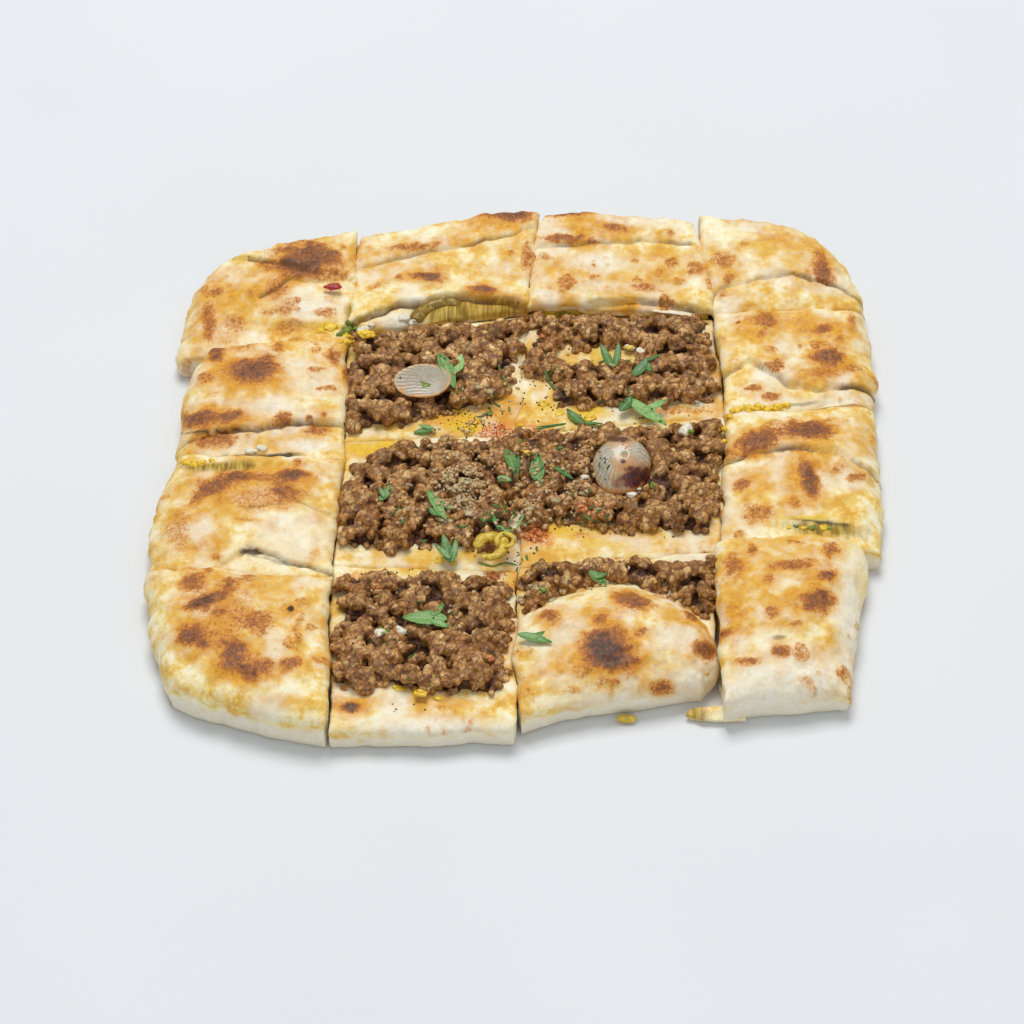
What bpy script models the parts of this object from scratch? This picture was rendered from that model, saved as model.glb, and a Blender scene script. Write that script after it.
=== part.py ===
"""Meat fatayer: a square flatbread pie of thin folded dough, cut four by four and still lying whole.

The pie lies flat on z = 0 with its thin side up, and its origin is under the middle of its outline.
Blender's unit is the metre. The tables below are in millimetres, and MM turns them into metres.
"""

import math
import random
from collections import namedtuple

import bmesh
import bpy
from mathutils import Euler, Vector, noise

MM = 0.001

# The middle of the outline, in the plan that the tables below are drawn in.
PLAN_MIDDLE = (3.92, 15.64)

# Each cut is this wide, and pieces that rest on each other are this far apart.
CUT_WIDTH = 0.8
REST_GAP = 0.35

# The plan. X of the left edge, the three cuts and the right edge, each at the five lines of rows:
# the front edge, the cuts between rows 4 and 3, 3 and 2, 2 and 1, and the back edge.
LINES_X = (
    (-132, -143.5, -136, -140, -133),
    (-69.5, -69, -68, -68, -65),
    (1.5, 2.5, 2, 6, 11.5),
    (75, 81, 87, 85, 78.5),
    (127, 146, 149, 148.5, 142),
)
# Y of the same five lines of rows in each column, at the column's left and right side.
LINES_Y = (
    ((-107, -128), (-46, -53), (19, 15), (77, 86), (136, 150)),
    ((-127, -124), (-43, -45), (27.5, 31.5), (90, 103), (146, 155)),
    ((-120, -109), (-43, -35), (31.5, 41), (103, 102), (155, 154)),
    ((-113, -107), (-37, -34), (39, 48), (101.5, 106), (160, 148)),
)

# How a side of a piece ends: how far in it rounds over, the share of the height left at its widest
# line, how far the foot tucks in under that line, and whether it was cut. A sunk side is a cut one
# that was pressed down by the knife, and a lip is the free edge of a flap.
Side = namedtuple("Side", "round_over rim tuck is_cut")
CUT = Side(1.6, 0.92, 0.5, True)
SUNK = Side(5, 0.72, 0.5, True)
FOLD = Side(11, 0.52, 5, False)
BLUNT = Side(7, 0.74, 3, False)
RIDGE = Side(6, 0.88, 2.5, False)
LIP = Side(8, 0.8, 2, False)

# A piece of dough: its heights at the front left, front right, back right and back left corner, the
# crown in its middle, its sides in the order front, right, back, left, how far each side bows out,
# and the roundness of the four corners, from 0, square, to 1, as round as a disc.
Piece = namedtuple("Piece", "heights crown sides bows corners")
PIECES = {
    "r1c1": Piece((13, 17, 25, 16), 4, (CUT, CUT, BLUNT, FOLD), (0, 0, 0, 1), (0.1, 0, 0.1, 0.6)),
    "r1c2": Piece((17, 18, 29, 21), 1, (CUT, CUT, RIDGE, CUT), (0, 0, 1, 0), (0, 0, 0.1, 0.1)),
    "r1c3": Piece((19, 18, 24, 28), 1, (CUT, CUT, RIDGE, CUT), (0, 0, 2, 0), (0, 0, 0.15, 0.1)),
    "r1c4": Piece((18, 16, 17, 26), 4, (CUT, FOLD, BLUNT, CUT), (0, 0, 2, 0), (0, 0, 1, 0.15)),
    "r2c1": Piece((14, 15, 19, 18), 6, (CUT, CUT, SUNK, FOLD), (0, 0, 1, -1), (0.1, 0, 0, 0.5)),
    "r3c1": Piece((14, 17, 17, 16), 6, (CUT, CUT, SUNK, FOLD), (0, 0, 0, 1.5), (0.15, 0, 0, 0.15)),
    "r4c1": Piece((17, 19, 20, 18), 7, (BLUNT, CUT, SUNK, FOLD), (1.5, 0, 0, 0), (0.4, 0.05, 0, 0.15)),
    "r2c4": Piece((17, 14, 16, 19), 4, (CUT, FOLD, SUNK, CUT), (0, 1.5, 0, 0), (0, 0.1, 0.1, 0)),
    "r3c4": Piece((16, 13, 15, 18), 5, (CUT, FOLD, SUNK, CUT), (0, -0.5, 0, 0), (0, 0.15, 0.1, 0)),
    "r4c4": Piece((18, 15, 17, 20), 7, (BLUNT, FOLD, SUNK, CUT), (-3, -3, 0, 0), (0.1, 0.2, 0.6, 0.3)),
    "r2c2": Piece((13, 13, 13, 13), 0, (CUT, CUT, CUT, CUT), (0, 0, 0, 0), (0, 0, 0, 0)),
    "r2c3": Piece((13, 13, 13, 13), 0, (CUT, CUT, CUT, CUT), (0, 0, 0, 0), (0, 0, 0, 0)),
    "r3c2": Piece((13, 13, 13, 13), 0, (CUT, CUT, CUT, CUT), (0, 0, 0, 0), (0, 0, 0, 0)),
    "r3c3": Piece((13, 13, 13, 13), 0, (CUT, CUT, CUT, CUT), (0, 0, 0, 0), (0, 0, 0, 0)),
    "r4c2": Piece((13, 13, 13, 13), 0, (BLUNT, CUT, CUT, CUT), (0, 0, 0, 0), (0, 0, 0, 0)),
    "r4c3": Piece((13, 13, 13, 13), 0, (CUT, CUT, CUT, CUT), (0, 0, 0, 0), (0, 0, 0, 0)),
    "r4c3_flap": Piece((15, 14, 16, 17), 9, (BLUNT, FOLD, LIP, CUT), (-3.5, 1, 23, 0), (0.05, 0.7, 0.5, 0.1)),
    "r4c4_tongue": Piece((3.4, 4, 5, 4), 0.4, (BLUNT, BLUNT, CUT, BLUNT), (0.5, 0, 0, 1), (0.5, 0.1, 0, 0.6)),
}

# Folds that stand out of the dough: the piece, the two ends of the fold's edge, how high it steps
# up on the left of the way from the first end to the second, and how soon it fades behind.
Fold = namedtuple("Fold", "piece start end step fade")
FOLDS = (
    Fold("r1c1", (-112, 118), (-70, 104), 2.5, 22),
    Fold("r1c2", (-60, 118), (10, 124), 4, 40),
    Fold("r1c3", (14, 128), (80, 118), 3, 30),
    Fold("r2c1", (-66, 24), (-134, 32), 2.5, 34),
    Fold("r3c1", (-70, -20), (-140, 4), 2, 30),
    Fold("r2c4", (84, 56), (150, 60), 2, 30),
    Fold("r3c4", (84, 8), (150, 14), 3, 24),
    Fold("r4c4", (78, -62), (140, -58), -2, 30),
)

# Pieces drawn with corners of their own, in plan from the front left anticlockwise. The cut round
# r4c2 stands open. The front of r4c3 is a flap folded back over its slab, and the bottom dough of
# r4c4 sticks out as a low tongue; both are joined to their pieces.
OUTLINES = {
    "r4c2": ((-68.3, -127.5), (0.4, -125), (2.2, -45), (-69, -43)),
    "r4c3": ((2, -102), (75, -99), (81, -35), (2.5, -43)),
    "r4c4": ((79.8, -116), (127, -110.5), (146, -34), (81, -37)),
    "r4c3_flap": ((2.2, -121.5), (77.5, -106.5), (80.5, -80), (0.8, -75)),
    "r4c4_tongue": ((67, -112.2), (88, -113), (88, -106.5), (64.3, -109)),
}
JOINED = {"r4c3": "r4c3_flap", "r4c4": "r4c4_tongue"}
# How high the foot of a joined form lies.
JOINED_LIFT = {"r4c3_flap": 0, "r4c4_tongue": 0.3}

# The pocket of a folded piece: how thick the dough is above and below the filling, how far the
# filling stays inside a folded side and a cut one, and how far the pocket's cutter runs out of a cut.
ROOF = 3.6
SOLE = 3
POCKET_INSET = 14
CUT_INSET = 1
POCKET_REACH = 5
FILLED = ("r1c1", "r1c2", "r1c3", "r1c4", "r2c1", "r3c1", "r4c1", "r2c4", "r3c4", "r4c4")

# The torn front of the piece r3c4, where its roof stops short and the lining shows: the lowest and
# the highest corner of the room that is left open.
TORN_PIECE = "r3c4"
TORN_LOW = (101, -50, 8.5)
TORN_HIGH = (160, -17, 40)

# Heaps of minced meat, each from one to four patches: the four corners of a patch in plan, from
# the front left anticlockwise. The meat lies on the slab and the crumbs stand on its core.
HEAPS = {
    "meat_r2c2": (((-65.5, 32), (-10, 40), (3, 98), (-64.5, 88)),),
    "meat_r2c3": (
        ((8, 86), (56, 82), (80, 99), (10.5, 99)),
        ((52, 46), (83.5, 50), (82, 99), (52, 90)),
        ((16, 48), (58, 46), (58, 74), (20, 72)),
    ),
    "meat_r3c2": (((-66, -34), (-1, -34), (-0.5, 27), (-65, 24)),),
    "meat_r3c3": (((5.5, -20), (79, -26), (83.5, 34), (5, 28)),),
    "meat_r4c2": (((-66.5, -106), (-4, -111), (-1, -52), (-66, -50)),),
    "meat_r4c3": (
        ((4.5, -69.5), (22, -56.5), (32, -42), (5, -46)),
        ((22, -56), (36, -53.3), (40, -42), (22, -42)),
        ((36, -53.3), (62, -57.5), (66, -42), (36, -42)),
        ((60, -58.5), (76.3, -74), (79, -41), (60, -42)),
    ),
}
CORE_HEIGHT = 6
CORE_BUMP = 1.3
CORE_BUMP_LENGTH = 7
HOLLOW_HEIGHT = 2.6
HOLLOW_MARGIN = 5
CRUMB_SPACING = 12.6
CRUMB_RADIUS = (3.6, 5)
CRUMB_SINK = 0.35
CRUMB_MARGIN = 1.2
CRUMB_LEAST = 2.6
CRUMB_SPREAD = 1.27

# What lies on the meat or the dough: what it lies on, its place in plan, its radii across, along and
# up, its tilt about X and Y, its turn, its material and the faces round it and from pole to pole.
Topping = namedtuple("Topping", "bed place radii tilt turn material faces")
TOPPINGS = {
    "onion_slice": Topping("meat_r2c2", (-36.5, 54.5), (11.5, 10.5, 1.3), (6, -8), 10, "onion", (16, 6)),
    "onion_petal": Topping("meat_r3c3", (43.7, 5.5), (11.5, 13, 5), (7, 3), -8, "onion", (16, 6)),
    "onion_bit": Topping("meat_r3c3", (70, 24), (3.2, 4, 2.4), (0, 10), -30, "onion", (8, 5)),
    "pepper_curl": Topping("meat_r3c2", (-9.5, -30), (6.5, 4, 3), (8, 0), 24, "egg", (10, 6)),
    "egg_bit": Topping("meat_r2c2", (-60.5, 83), (4.2, 2.6, 1.8), (0, 0), 0, "egg", (8, 5)),
    "tomato_bit": Topping("r1c1", (-75, 109), (4.4, 2, 1.3), (0, -8), -12, "tomato", (8, 5)),
}
# A corner of the filling shows on the ground under the flap: its middle and its radii.
EGG_FRONT_PLACE = (43, -112, 2)
EGG_FRONT_RADII = (4.4, 2.2, 1.7)

# Parsley: what each leaf lies on, its middle, its length, half width and heading.
Leaf = namedtuple("Leaf", "bed place length width heading")
LEAVES = {
    "leaf_01": Leaf("meat_r2c2", (-19.5, 57.5), 17, 4.4, 116),
    "leaf_02": Leaf("meat_r2c3", (39.5, 66), 10, 3.8, 80),
    "leaf_03": Leaf("meat_r2c3", (55, 62), 14, 3.8, 28),
    "leaf_04": Leaf("meat_r2c3", (50, 43.6), 19, 4.4, 150),
    "leaf_05": Leaf("meat_r2c3", (25, 38.5), 15, 3, 2),
    "leaf_06": Leaf("meat_r3c3", (9.5, 3.5), 13, 4.2, 100),
    "leaf_07": Leaf("meat_r3c2", (-5.5, 5.5), 14, 4.4, 75),
    "leaf_08": Leaf("meat_r3c2", (-29, -16), 17, 4.2, 131),
    "leaf_09": Leaf("meat_r3c2", (-26, -31), 13, 3.8, 115),
    "leaf_10": Leaf("meat_r3c2", (-50.7, -13), 7, 2.4, 70),
    "leaf_11": Leaf("meat_r4c2", (-33, -80), 18, 4.4, 176),
    "leaf_12": Leaf("r4c3_flap", (9.5, -88), 12, 2.8, 175),
    "leaf_13": Leaf("meat_r4c3", (30, -50.5), 8, 2.8, 120),
    "leaf_14": Leaf("meat_r2c2", (-35, 33), 12, 1.8, 8),
    "leaf_15": Leaf("meat_r3c2", (-8, -18), 10, 2.6, 40),
}
LEAF_THICKNESS = 0.6
LEAF_WAVE = 0.7

# Points of a mesh closer than this, in metres, are one.
WELD_DISTANCE = 1e-7

# Faces along each side of a dough piece, a pocket, a heap's core and a leaf, and how far down the
# side of a dough piece its two lower rings of faces end.
GRID = 8
WALL_LEVELS = (0.62, 1)
POCKET_GRID = 4
CORE_GRID = 6
LEAF_GRID = 4

COLOURS = {
    "dough": ((0.84, 0.66, 0.38), 0.65),
    "filling": ((0.72, 0.55, 0.12), 0.5),
    "meat": ((0.24, 0.13, 0.085), 0.55),
    "onion": ((0.72, 0.66, 0.5), 0.3),
    "parsley": ((0.1, 0.33, 0.08), 0.5),
    "tomato": ((0.6, 0.04, 0.03), 0.35),
    "egg": ((0.85, 0.55, 0.06), 0.4),
}


def clear_scene():
    for thing in list(bpy.data.objects):
        bpy.data.objects.remove(thing, do_unlink=True)


def make_collection(name):
    collection = bpy.data.collections.new(name)
    bpy.context.scene.collection.children.link(collection)
    return collection


def make_material(name):
    colour, roughness = COLOURS[name]
    material = bpy.data.materials.new(name)
    material.use_nodes = True
    shader = material.node_tree.nodes["Principled BSDF"]
    shader.inputs["Base Color"].default_value = (*colour, 1)
    shader.inputs["Roughness"].default_value = roughness
    shader.inputs["Metallic"].default_value = 0
    return material


def finish_object(name, grid, material, collection, smooth_angle=50):
    """Makes an object from a bmesh in plan millimetres, moved so that the pie's middle is the origin."""
    for vertex in grid.verts:
        vertex.co.x = (vertex.co.x - PLAN_MIDDLE[0]) * MM
        vertex.co.y = (vertex.co.y - PLAN_MIDDLE[1]) * MM
        vertex.co.z *= MM
    bmesh.ops.recalc_face_normals(grid, faces=grid.faces)
    mesh = bpy.data.meshes.new(name)
    grid.to_mesh(mesh)
    grid.free()
    mesh.materials.append(material)
    mesh.shade_smooth()
    mesh.set_sharp_from_angle(angle=math.radians(smooth_angle))
    thing = bpy.data.objects.new(name, mesh)
    collection.objects.link(thing)
    return thing


def mix_corners(values, across, along):
    """Blends four corner values, given from the front left anticlockwise, at -1 to 1 each way."""
    left, right = (1 - across) / 2, (1 + across) / 2
    at_front = values[0] * left + values[1] * right
    at_back = values[3] * left + values[2] * right
    return at_front * (1 - along) / 2 + at_back * (1 + along) / 2


def corners_of(name):
    """The four corners of a piece in plan, from the front left anticlockwise."""
    if name in OUTLINES:
        return [Vector(corner) for corner in OUTLINES[name]]
    line = 4 - int(name[1])
    column = int(name[3]) - 1
    corners = []
    for side, row in ((0, line), (1, line), (1, line + 1), (0, line + 1)):
        corners.append(Vector((LINES_X[column + side][row], LINES_Y[column][row][side])))
    return corners


def place_in_plan(corners, bows, roundness, across, along):
    """The point of a rounded, bowed four-sided outline that a point of the square from -1 to 1 goes to."""
    softness = mix_corners(roundness, max(-1, min(1, across)), max(-1, min(1, along)))
    u = across * math.sqrt(1 - softness * along * along / 2)
    v = along * math.sqrt(1 - softness * across * across / 2)
    point = mix_corners(corners, u, v)
    for side in range(4):
        edge = corners[(side + 1) % 4] - corners[side]
        outward = Vector((edge.y, -edge.x)).normalized()
        nearness = ((1 - v) / 2, (1 + u) / 2, (1 + v) / 2, (1 - u) / 2)[side]
        spread = 1 - (u * u if side in (0, 2) else v * v)
        point = point + outward * bows[side] * nearness * max(0, spread)
    return point


def span_of(corners):
    """The width and the depth of a four-sided outline, halfway through it."""
    width = ((corners[1] + corners[2]) - (corners[0] + corners[3])).length / 2
    depth = ((corners[2] + corners[3]) - (corners[0] + corners[1])).length / 2
    return width, depth


def inset_square(sides, corners, across, along, inset_of):
    """Pulls a point of the square from -1 to 1 in from each side by the distance that inset_of gives it."""
    width, depth = span_of(corners)
    low_u = -1 + 2 * inset_of(sides[3]) / width
    high_u = 1 - 2 * inset_of(sides[1]) / width
    low_v = -1 + 2 * inset_of(sides[0]) / depth
    high_v = 1 - 2 * inset_of(sides[2]) / depth
    u = low_u + (high_u - low_u) * (across + 1) / 2
    v = low_v + (high_v - low_v) * (along + 1) / 2
    return u, v


def fold_rise(name, point):
    """How much the folds of a piece raise the dough at a point in plan."""
    rise = 0
    for fold in FOLDS:
        if fold.piece != name:
            continue
        start, end = Vector(fold.start), Vector(fold.end)
        way = (end - start).normalized()
        behind = way.x * (point.y - start.y) - way.y * (point.x - start.x)
        if behind > 0:
            rise += fold.step * math.exp(-behind / fold.fade) * min(1, behind / 2)
    return rise


def body_height(name, u, v, point):
    """The height of a piece at a point, before its sides round over."""
    piece = PIECES[name]
    height = mix_corners(piece.heights, u, v) + piece.crown * (1 - u * u) * (1 - v * v)
    return height + fold_rise(name, point)


def left_at_edge(side, distance):
    """The share of the height that a side leaves at a distance inside its widest line."""
    if distance >= side.round_over:
        return 1
    rise = 1 - distance / side.round_over
    return side.rim + (1 - side.rim) * math.sqrt(1 - rise * rise)


def surface_height(name, u, v, point):
    """The height of a piece's top at a point, with its sides rounded over."""
    sides = PIECES[name].sides
    width, depth = span_of(corners_of(name))
    distances = (depth * (1 + v) / 2, width * (1 - u) / 2, depth * (1 - v) / 2, width * (1 + u) / 2)
    loss = 0
    for side, distance in zip(sides, distances):
        loss += (1 - left_at_edge(side, max(0, distance))) ** 2
    return body_height(name, u, v, point) * (1 - min(0.8, math.sqrt(loss)))


def make_dough(name, material, collection):
    """A piece of dough: a fine-edged grid for its top, its side walls drawn down from it, a flat foot."""
    piece = PIECES[name]
    corners = corners_of(name)
    width, depth = span_of(corners)
    grid = bmesh.new()
    bmesh.ops.create_grid(grid, x_segments=GRID, y_segments=GRID, size=1)
    rim = [edge for edge in grid.edges if edge.is_boundary]
    for level in range(1, len(WALL_LEVELS) + 1):
        drawn = bmesh.ops.extrude_edge_only(grid, edges=rim)["geom"]
        rim = [item for item in drawn if isinstance(item, bmesh.types.BMEdge)]
        for vertex in drawn:
            if isinstance(vertex, bmesh.types.BMVert):
                vertex.co.z = -level
    bmesh.ops.contextual_create(grid, geom=rim)
    for vertex in grid.verts:
        across = math.sin(math.pi / 2 * vertex.co.x)
        along = math.sin(math.pi / 2 * vertex.co.y)
        u, v = inset_square(
            piece.sides, corners, across, along, lambda side: CUT_WIDTH / 2 if side.is_cut else 0
        )
        point = place_in_plan(corners, piece.bows, piece.corners, u, v)
        height = surface_height(name, u, v, point)
        level = round(-vertex.co.z)
        if level:
            drop = WALL_LEVELS[level - 1]
            share = 1 - math.sqrt(max(0, 1 - drop * drop))
            tucks = [side.tuck * share for side in piece.sides]
            if u < 0:
                u += 2 * tucks[3] / width * (1 if across < -0.999 else 0)
            else:
                u -= 2 * tucks[1] / width * (1 if across > 0.999 else 0)
            if v < 0:
                v += 2 * tucks[0] / depth * (1 if along < -0.999 else 0)
            else:
                v -= 2 * tucks[2] / depth * (1 if along > 0.999 else 0)
            point = place_in_plan(corners, piece.bows, piece.corners, u, v)
            height *= 1 - drop
        vertex.co = (point.x, point.y, height)
    return finish_object("dough_" + name, grid, material, collection)


def make_slab(name, shown_name, is_pocket, material, collection):
    """The filling of a folded piece, or the pocket that it lies in, which also runs out of the cuts."""
    piece = PIECES[name]
    corners = corners_of(name)
    width, depth = span_of(corners)
    skirt = 1 if is_pocket else 0
    segments = POCKET_GRID + 2 * skirt
    grid = bmesh.new()
    bmesh.ops.create_grid(grid, x_segments=segments, y_segments=segments, size=1)
    rim = [edge for edge in grid.edges if edge.is_boundary]
    drawn = bmesh.ops.extrude_edge_only(grid, edges=rim)["geom"]
    rim = [item for item in drawn if isinstance(item, bmesh.types.BMEdge)]
    low = [item for item in drawn if isinstance(item, bmesh.types.BMVert)]
    bmesh.ops.contextual_create(grid, geom=rim)
    gap = 0 if is_pocket else REST_GAP
    for vertex in grid.verts:
        column = round((vertex.co.x + 1) / 2 * segments) - skirt
        row = round((vertex.co.y + 1) / 2 * segments) - skirt
        across = 2 * max(0, min(POCKET_GRID, column)) / POCKET_GRID - 1
        along = 2 * max(0, min(POCKET_GRID, row)) / POCKET_GRID - 1
        u, v = inset_square(
            piece.sides, corners, across, along, lambda side: CUT_INSET if side.is_cut else POCKET_INSET
        )
        roof = body_height(name, u, v, place_in_plan(corners, piece.bows, (0, 0, 0, 0), u, v)) - ROOF
        beyond_x = -1 if column < 0 else 1 if column > POCKET_GRID else 0
        beyond_y = -1 if row < 0 else 1 if row > POCKET_GRID else 0
        side_x = piece.sides[1 if beyond_x > 0 else 3]
        side_y = piece.sides[2 if beyond_y > 0 else 0]
        u += beyond_x * 2 * (POCKET_REACH if side_x.is_cut else REST_GAP) / width
        v += beyond_y * 2 * (POCKET_REACH if side_y.is_cut else REST_GAP) / depth
        point = place_in_plan(corners, piece.bows, (0, 0, 0, 0), u, v)
        vertex.co = (point.x, point.y, SOLE + gap if vertex in low else roof - gap)
    bmesh.ops.triangulate(grid, faces=grid.faces, quad_method="FIXED", ngon_method="EAR_CLIP")
    return finish_object(shown_name, grid, material, collection)


def is_closed(mesh):
    """Whether a mesh has edges, each with exactly two faces once points that lie together are one."""
    grid = bmesh.new()
    grid.from_mesh(mesh)
    bmesh.ops.remove_doubles(grid, verts=grid.verts, dist=WELD_DISTANCE)
    closed = len(grid.edges) > 0 and all(len(edge.link_faces) == 2 for edge in grid.edges)
    grid.free()
    return closed


def apply_boolean(thing, cutter, operation):
    """Joins or cuts with one object or a collection of them, and keeps the result as the mesh.

    Where the exact solver leaves nothing or an open edge, the manifold solver does the work instead.
    """
    modifier = thing.modifiers.new("join" if operation == "UNION" else "cut", "BOOLEAN")
    modifier.operation = operation
    if isinstance(cutter, bpy.types.Collection):
        modifier.operand_type = "COLLECTION"
        modifier.collection = cutter
    else:
        modifier.object = cutter
    for solver in ("EXACT", "MANIFOLD"):
        modifier.solver = solver
        graph = bpy.context.evaluated_depsgraph_get()
        mesh = bpy.data.meshes.new_from_object(thing.evaluated_get(graph))
        if is_closed(mesh):
            break
    thing.modifiers.clear()
    thing.data = mesh


def keep_largest_body(thing):
    """Drops loose scraps and the walls of sealed hollows: the one body with the most faces stays."""
    grid = bmesh.new()
    grid.from_mesh(thing.data)
    bmesh.ops.remove_doubles(grid, verts=grid.verts, dist=WELD_DISTANCE)
    unseen = set(grid.verts)
    bodies = []
    while unseen:
        body = {unseen.pop()}
        edge_of_body = list(body)
        while edge_of_body:
            vertex = edge_of_body.pop()
            for edge in vertex.link_edges:
                other = edge.other_vert(vertex)
                if other in unseen:
                    unseen.discard(other)
                    body.add(other)
                    edge_of_body.append(other)
        bodies.append(body)
    largest = max(bodies, key=len)
    loose = [vertex for vertex in grid.verts if vertex not in largest]
    bmesh.ops.delete(grid, geom=loose, context="VERTS")
    grid.to_mesh(thing.data)
    grid.free()


def tear_front(thing, helpers):
    """Takes the roof off the torn front of a piece."""
    grid = bmesh.new()
    bmesh.ops.create_cube(grid, size=1)
    low, high = Vector(TORN_LOW), Vector(TORN_HIGH)
    for vertex in grid.verts:
        share = vertex.co + Vector((0.5, 0.5, 0.5))
        vertex.co = [start + (end - start) * part for start, end, part in zip(low, high, share)]
    room = finish_object("torn_room", grid, thing.data.materials[0], helpers)
    apply_boolean(thing, room, "DIFFERENCE")
    bpy.data.objects.remove(room, do_unlink=True)
    keep_largest_body(thing)


def make_folded_piece(name, materials, collection, helpers):
    """A folded piece: its dough with a pocket open at the cuts, and the filling in the pocket."""
    dough = make_dough(name, materials["dough"], collection)
    pocket = make_slab(name, "pocket_" + name, True, materials["filling"], helpers)
    apply_boolean(dough, pocket, "DIFFERENCE")
    bpy.data.objects.remove(pocket, do_unlink=True)
    keep_largest_body(dough)
    filling = make_slab(name, "filling_" + name, False, materials["filling"], collection)
    if name == TORN_PIECE:
        tear_front(dough, helpers)
        tear_front(filling, helpers)
    return dough


def join_dough(dough, joined_name, material, helpers):
    """Joins a second form of dough, such as a flap, to a piece."""
    joined = make_dough(joined_name, material, helpers)
    joined.location.z = JOINED_LIFT[joined_name] * MM
    apply_boolean(dough, joined, "UNION")
    bpy.data.objects.remove(joined, do_unlink=True)
    keep_largest_body(dough)


def slab_top(name):
    """The height of the flat top of an open slab."""
    return PIECES[name].heights[2]


def in_patch(patch, point):
    """How far a point in plan is inside a four-sided patch; below 0 it is outside."""
    nearest = math.inf
    for side in range(4):
        start, end = Vector(patch[side]), Vector(patch[(side + 1) % 4])
        way = (end - start).normalized()
        nearest = min(nearest, way.x * (point.y - start.y) - way.y * (point.x - start.x))
    return nearest


def core_height(heap, point):
    """The height of a heap's core above its slab at a point in plan."""
    inside = max(in_patch(patch, point) for patch in HEAPS[heap])
    if inside <= 0:
        return 0
    rounded = min(1, inside / 9)
    height = CORE_HEIGHT * (0.35 + 0.65 * math.sqrt(1 - (1 - rounded) ** 2))
    height += CORE_BUMP * noise.noise(Vector((point.x, point.y, 0)) / CORE_BUMP_LENGTH)
    petal = TOPPINGS["onion_petal"]
    if petal.bed == heap:
        beyond = (point - Vector(petal.place)).length - max(petal.radii)
        share = max(0, min(1, beyond / HOLLOW_MARGIN))
        height = min(height, HOLLOW_HEIGHT + (height - HOLLOW_HEIGHT) * share)
    return height


def heap_base(heap):
    return slab_top(heap.removeprefix("meat_")) + REST_GAP


def make_core(heap, number, patch, material, collection):
    """One patch of a heap's core: a low mound with a flat foot."""
    corners = [Vector(corner) for corner in patch]
    grid = bmesh.new()
    bmesh.ops.create_grid(grid, x_segments=CORE_GRID, y_segments=CORE_GRID, size=1)
    rim = [edge for edge in grid.edges if edge.is_boundary]
    drawn = bmesh.ops.extrude_edge_only(grid, edges=rim)["geom"]
    rim = [item for item in drawn if isinstance(item, bmesh.types.BMEdge)]
    low = [item for item in drawn if isinstance(item, bmesh.types.BMVert)]
    bmesh.ops.contextual_create(grid, geom=rim)
    base = heap_base(heap)
    for vertex in grid.verts:
        point = place_in_plan(corners, (0, 0, 0, 0), (0.2, 0.2, 0.2, 0.2), vertex.co.x, vertex.co.y)
        inner = point.lerp(sum(corners, Vector((0, 0))) / 4, 0.04)
        height = 0 if vertex in low else max(2, core_height(heap, inner))
        vertex.co = (point.x, point.y, base + height)
    return finish_object(f"{heap}_core_{number}", grid, material, collection)


def crumb_places(heap, draw):
    """Places spread evenly over a heap: a jittered triangular lattice, kept inside the patches."""
    places = []
    xs = [corner[0] for patch in HEAPS[heap] for corner in patch]
    ys = [corner[1] for patch in HEAPS[heap] for corner in patch]
    row_step = CRUMB_SPACING * math.sqrt(3) / 2
    rows = int((max(ys) - min(ys)) / row_step) + 1
    for row in range(rows):
        y = min(ys) + row * row_step
        x = min(xs) + (CRUMB_SPACING / 2 if row % 2 else 0)
        while x < max(xs):
            jitter = CRUMB_SPACING * 0.22
            point = Vector((x + draw.uniform(-jitter, jitter), y + draw.uniform(-jitter, jitter)))
            if max(in_patch(patch, point) for patch in HEAPS[heap]) > CRUMB_MARGIN:
                places.append(point)
            x += CRUMB_SPACING
    return places


def clear_of_toppings(heap, point, radius):
    """Whether a crumb at a point stays clear of the onion and the leaves that lie on the heap's core."""
    for topping in TOPPINGS.values():
        reach = max(topping.radii[:2]) + radius * CRUMB_SPREAD + REST_GAP
        if topping.bed == heap and (point - Vector(topping.place)).length < reach:
            return False
    for leaf in LEAVES.values():
        if leaf.bed != heap:
            continue
        way = Vector((math.cos(math.radians(leaf.heading)), math.sin(math.radians(leaf.heading))))
        off = point - Vector(leaf.place)
        along = abs(off.dot(way))
        across = abs(off.x * way.y - off.y * way.x)
        reach = radius * CRUMB_SPREAD + REST_GAP
        if along < leaf.length / 2 + reach and across < leaf.width + reach:
            return False
    return True


def flap_reach(point):
    """How far the flap's rear edge reaches past a point in plan; below 0 the point is behind it."""
    start, end = Vector(OUTLINES["r4c3_flap"][3]), Vector(OUTLINES["r4c3_flap"][2])
    share = max(-1, min(1, 2 * (point.x - start.x) / (end.x - start.x) - 1))
    edge_y = (start.y * (1 - share) + end.y * (1 + share)) / 2
    return edge_y + PIECES["r4c3_flap"].bows[2] * (1 - share * share) - point.y


def room_at(heap, point):
    """How far a point in plan is from the cuts round a heap's slab, and from the flap over it."""
    slab = heap.removeprefix("meat_")
    room = in_patch(corners_of(slab), point) - CUT_WIDTH
    if slab == "r4c3":
        room = min(room, -flap_reach(point))
    return room


def make_crumb(name, point, radius, base, top, draw, material, collection):
    """One crumb of meat: a lumpy ball of few faces, half sunk in the core and never below its foot."""
    grid = bmesh.new()
    bmesh.ops.create_icosphere(grid, subdivisions=1, radius=radius)
    turn = Euler([draw.uniform(0, math.tau) for _ in range(3)]).to_matrix()
    squash = Vector((draw.uniform(0.85, 1.15), draw.uniform(0.85, 1.15), draw.uniform(0.7, 0.95)))
    for vertex in grid.verts:
        spot = turn @ vertex.co * draw.uniform(0.88, 1.1)
        spot = Vector((spot.x * squash.x, spot.y * squash.y, spot.z * squash.z))
        height = max(base + 0.08, top + radius * CRUMB_SINK + spot.z)
        vertex.co = (point.x + spot.x, point.y + spot.y, height)
    return finish_object(name, grid, material, collection)


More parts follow.
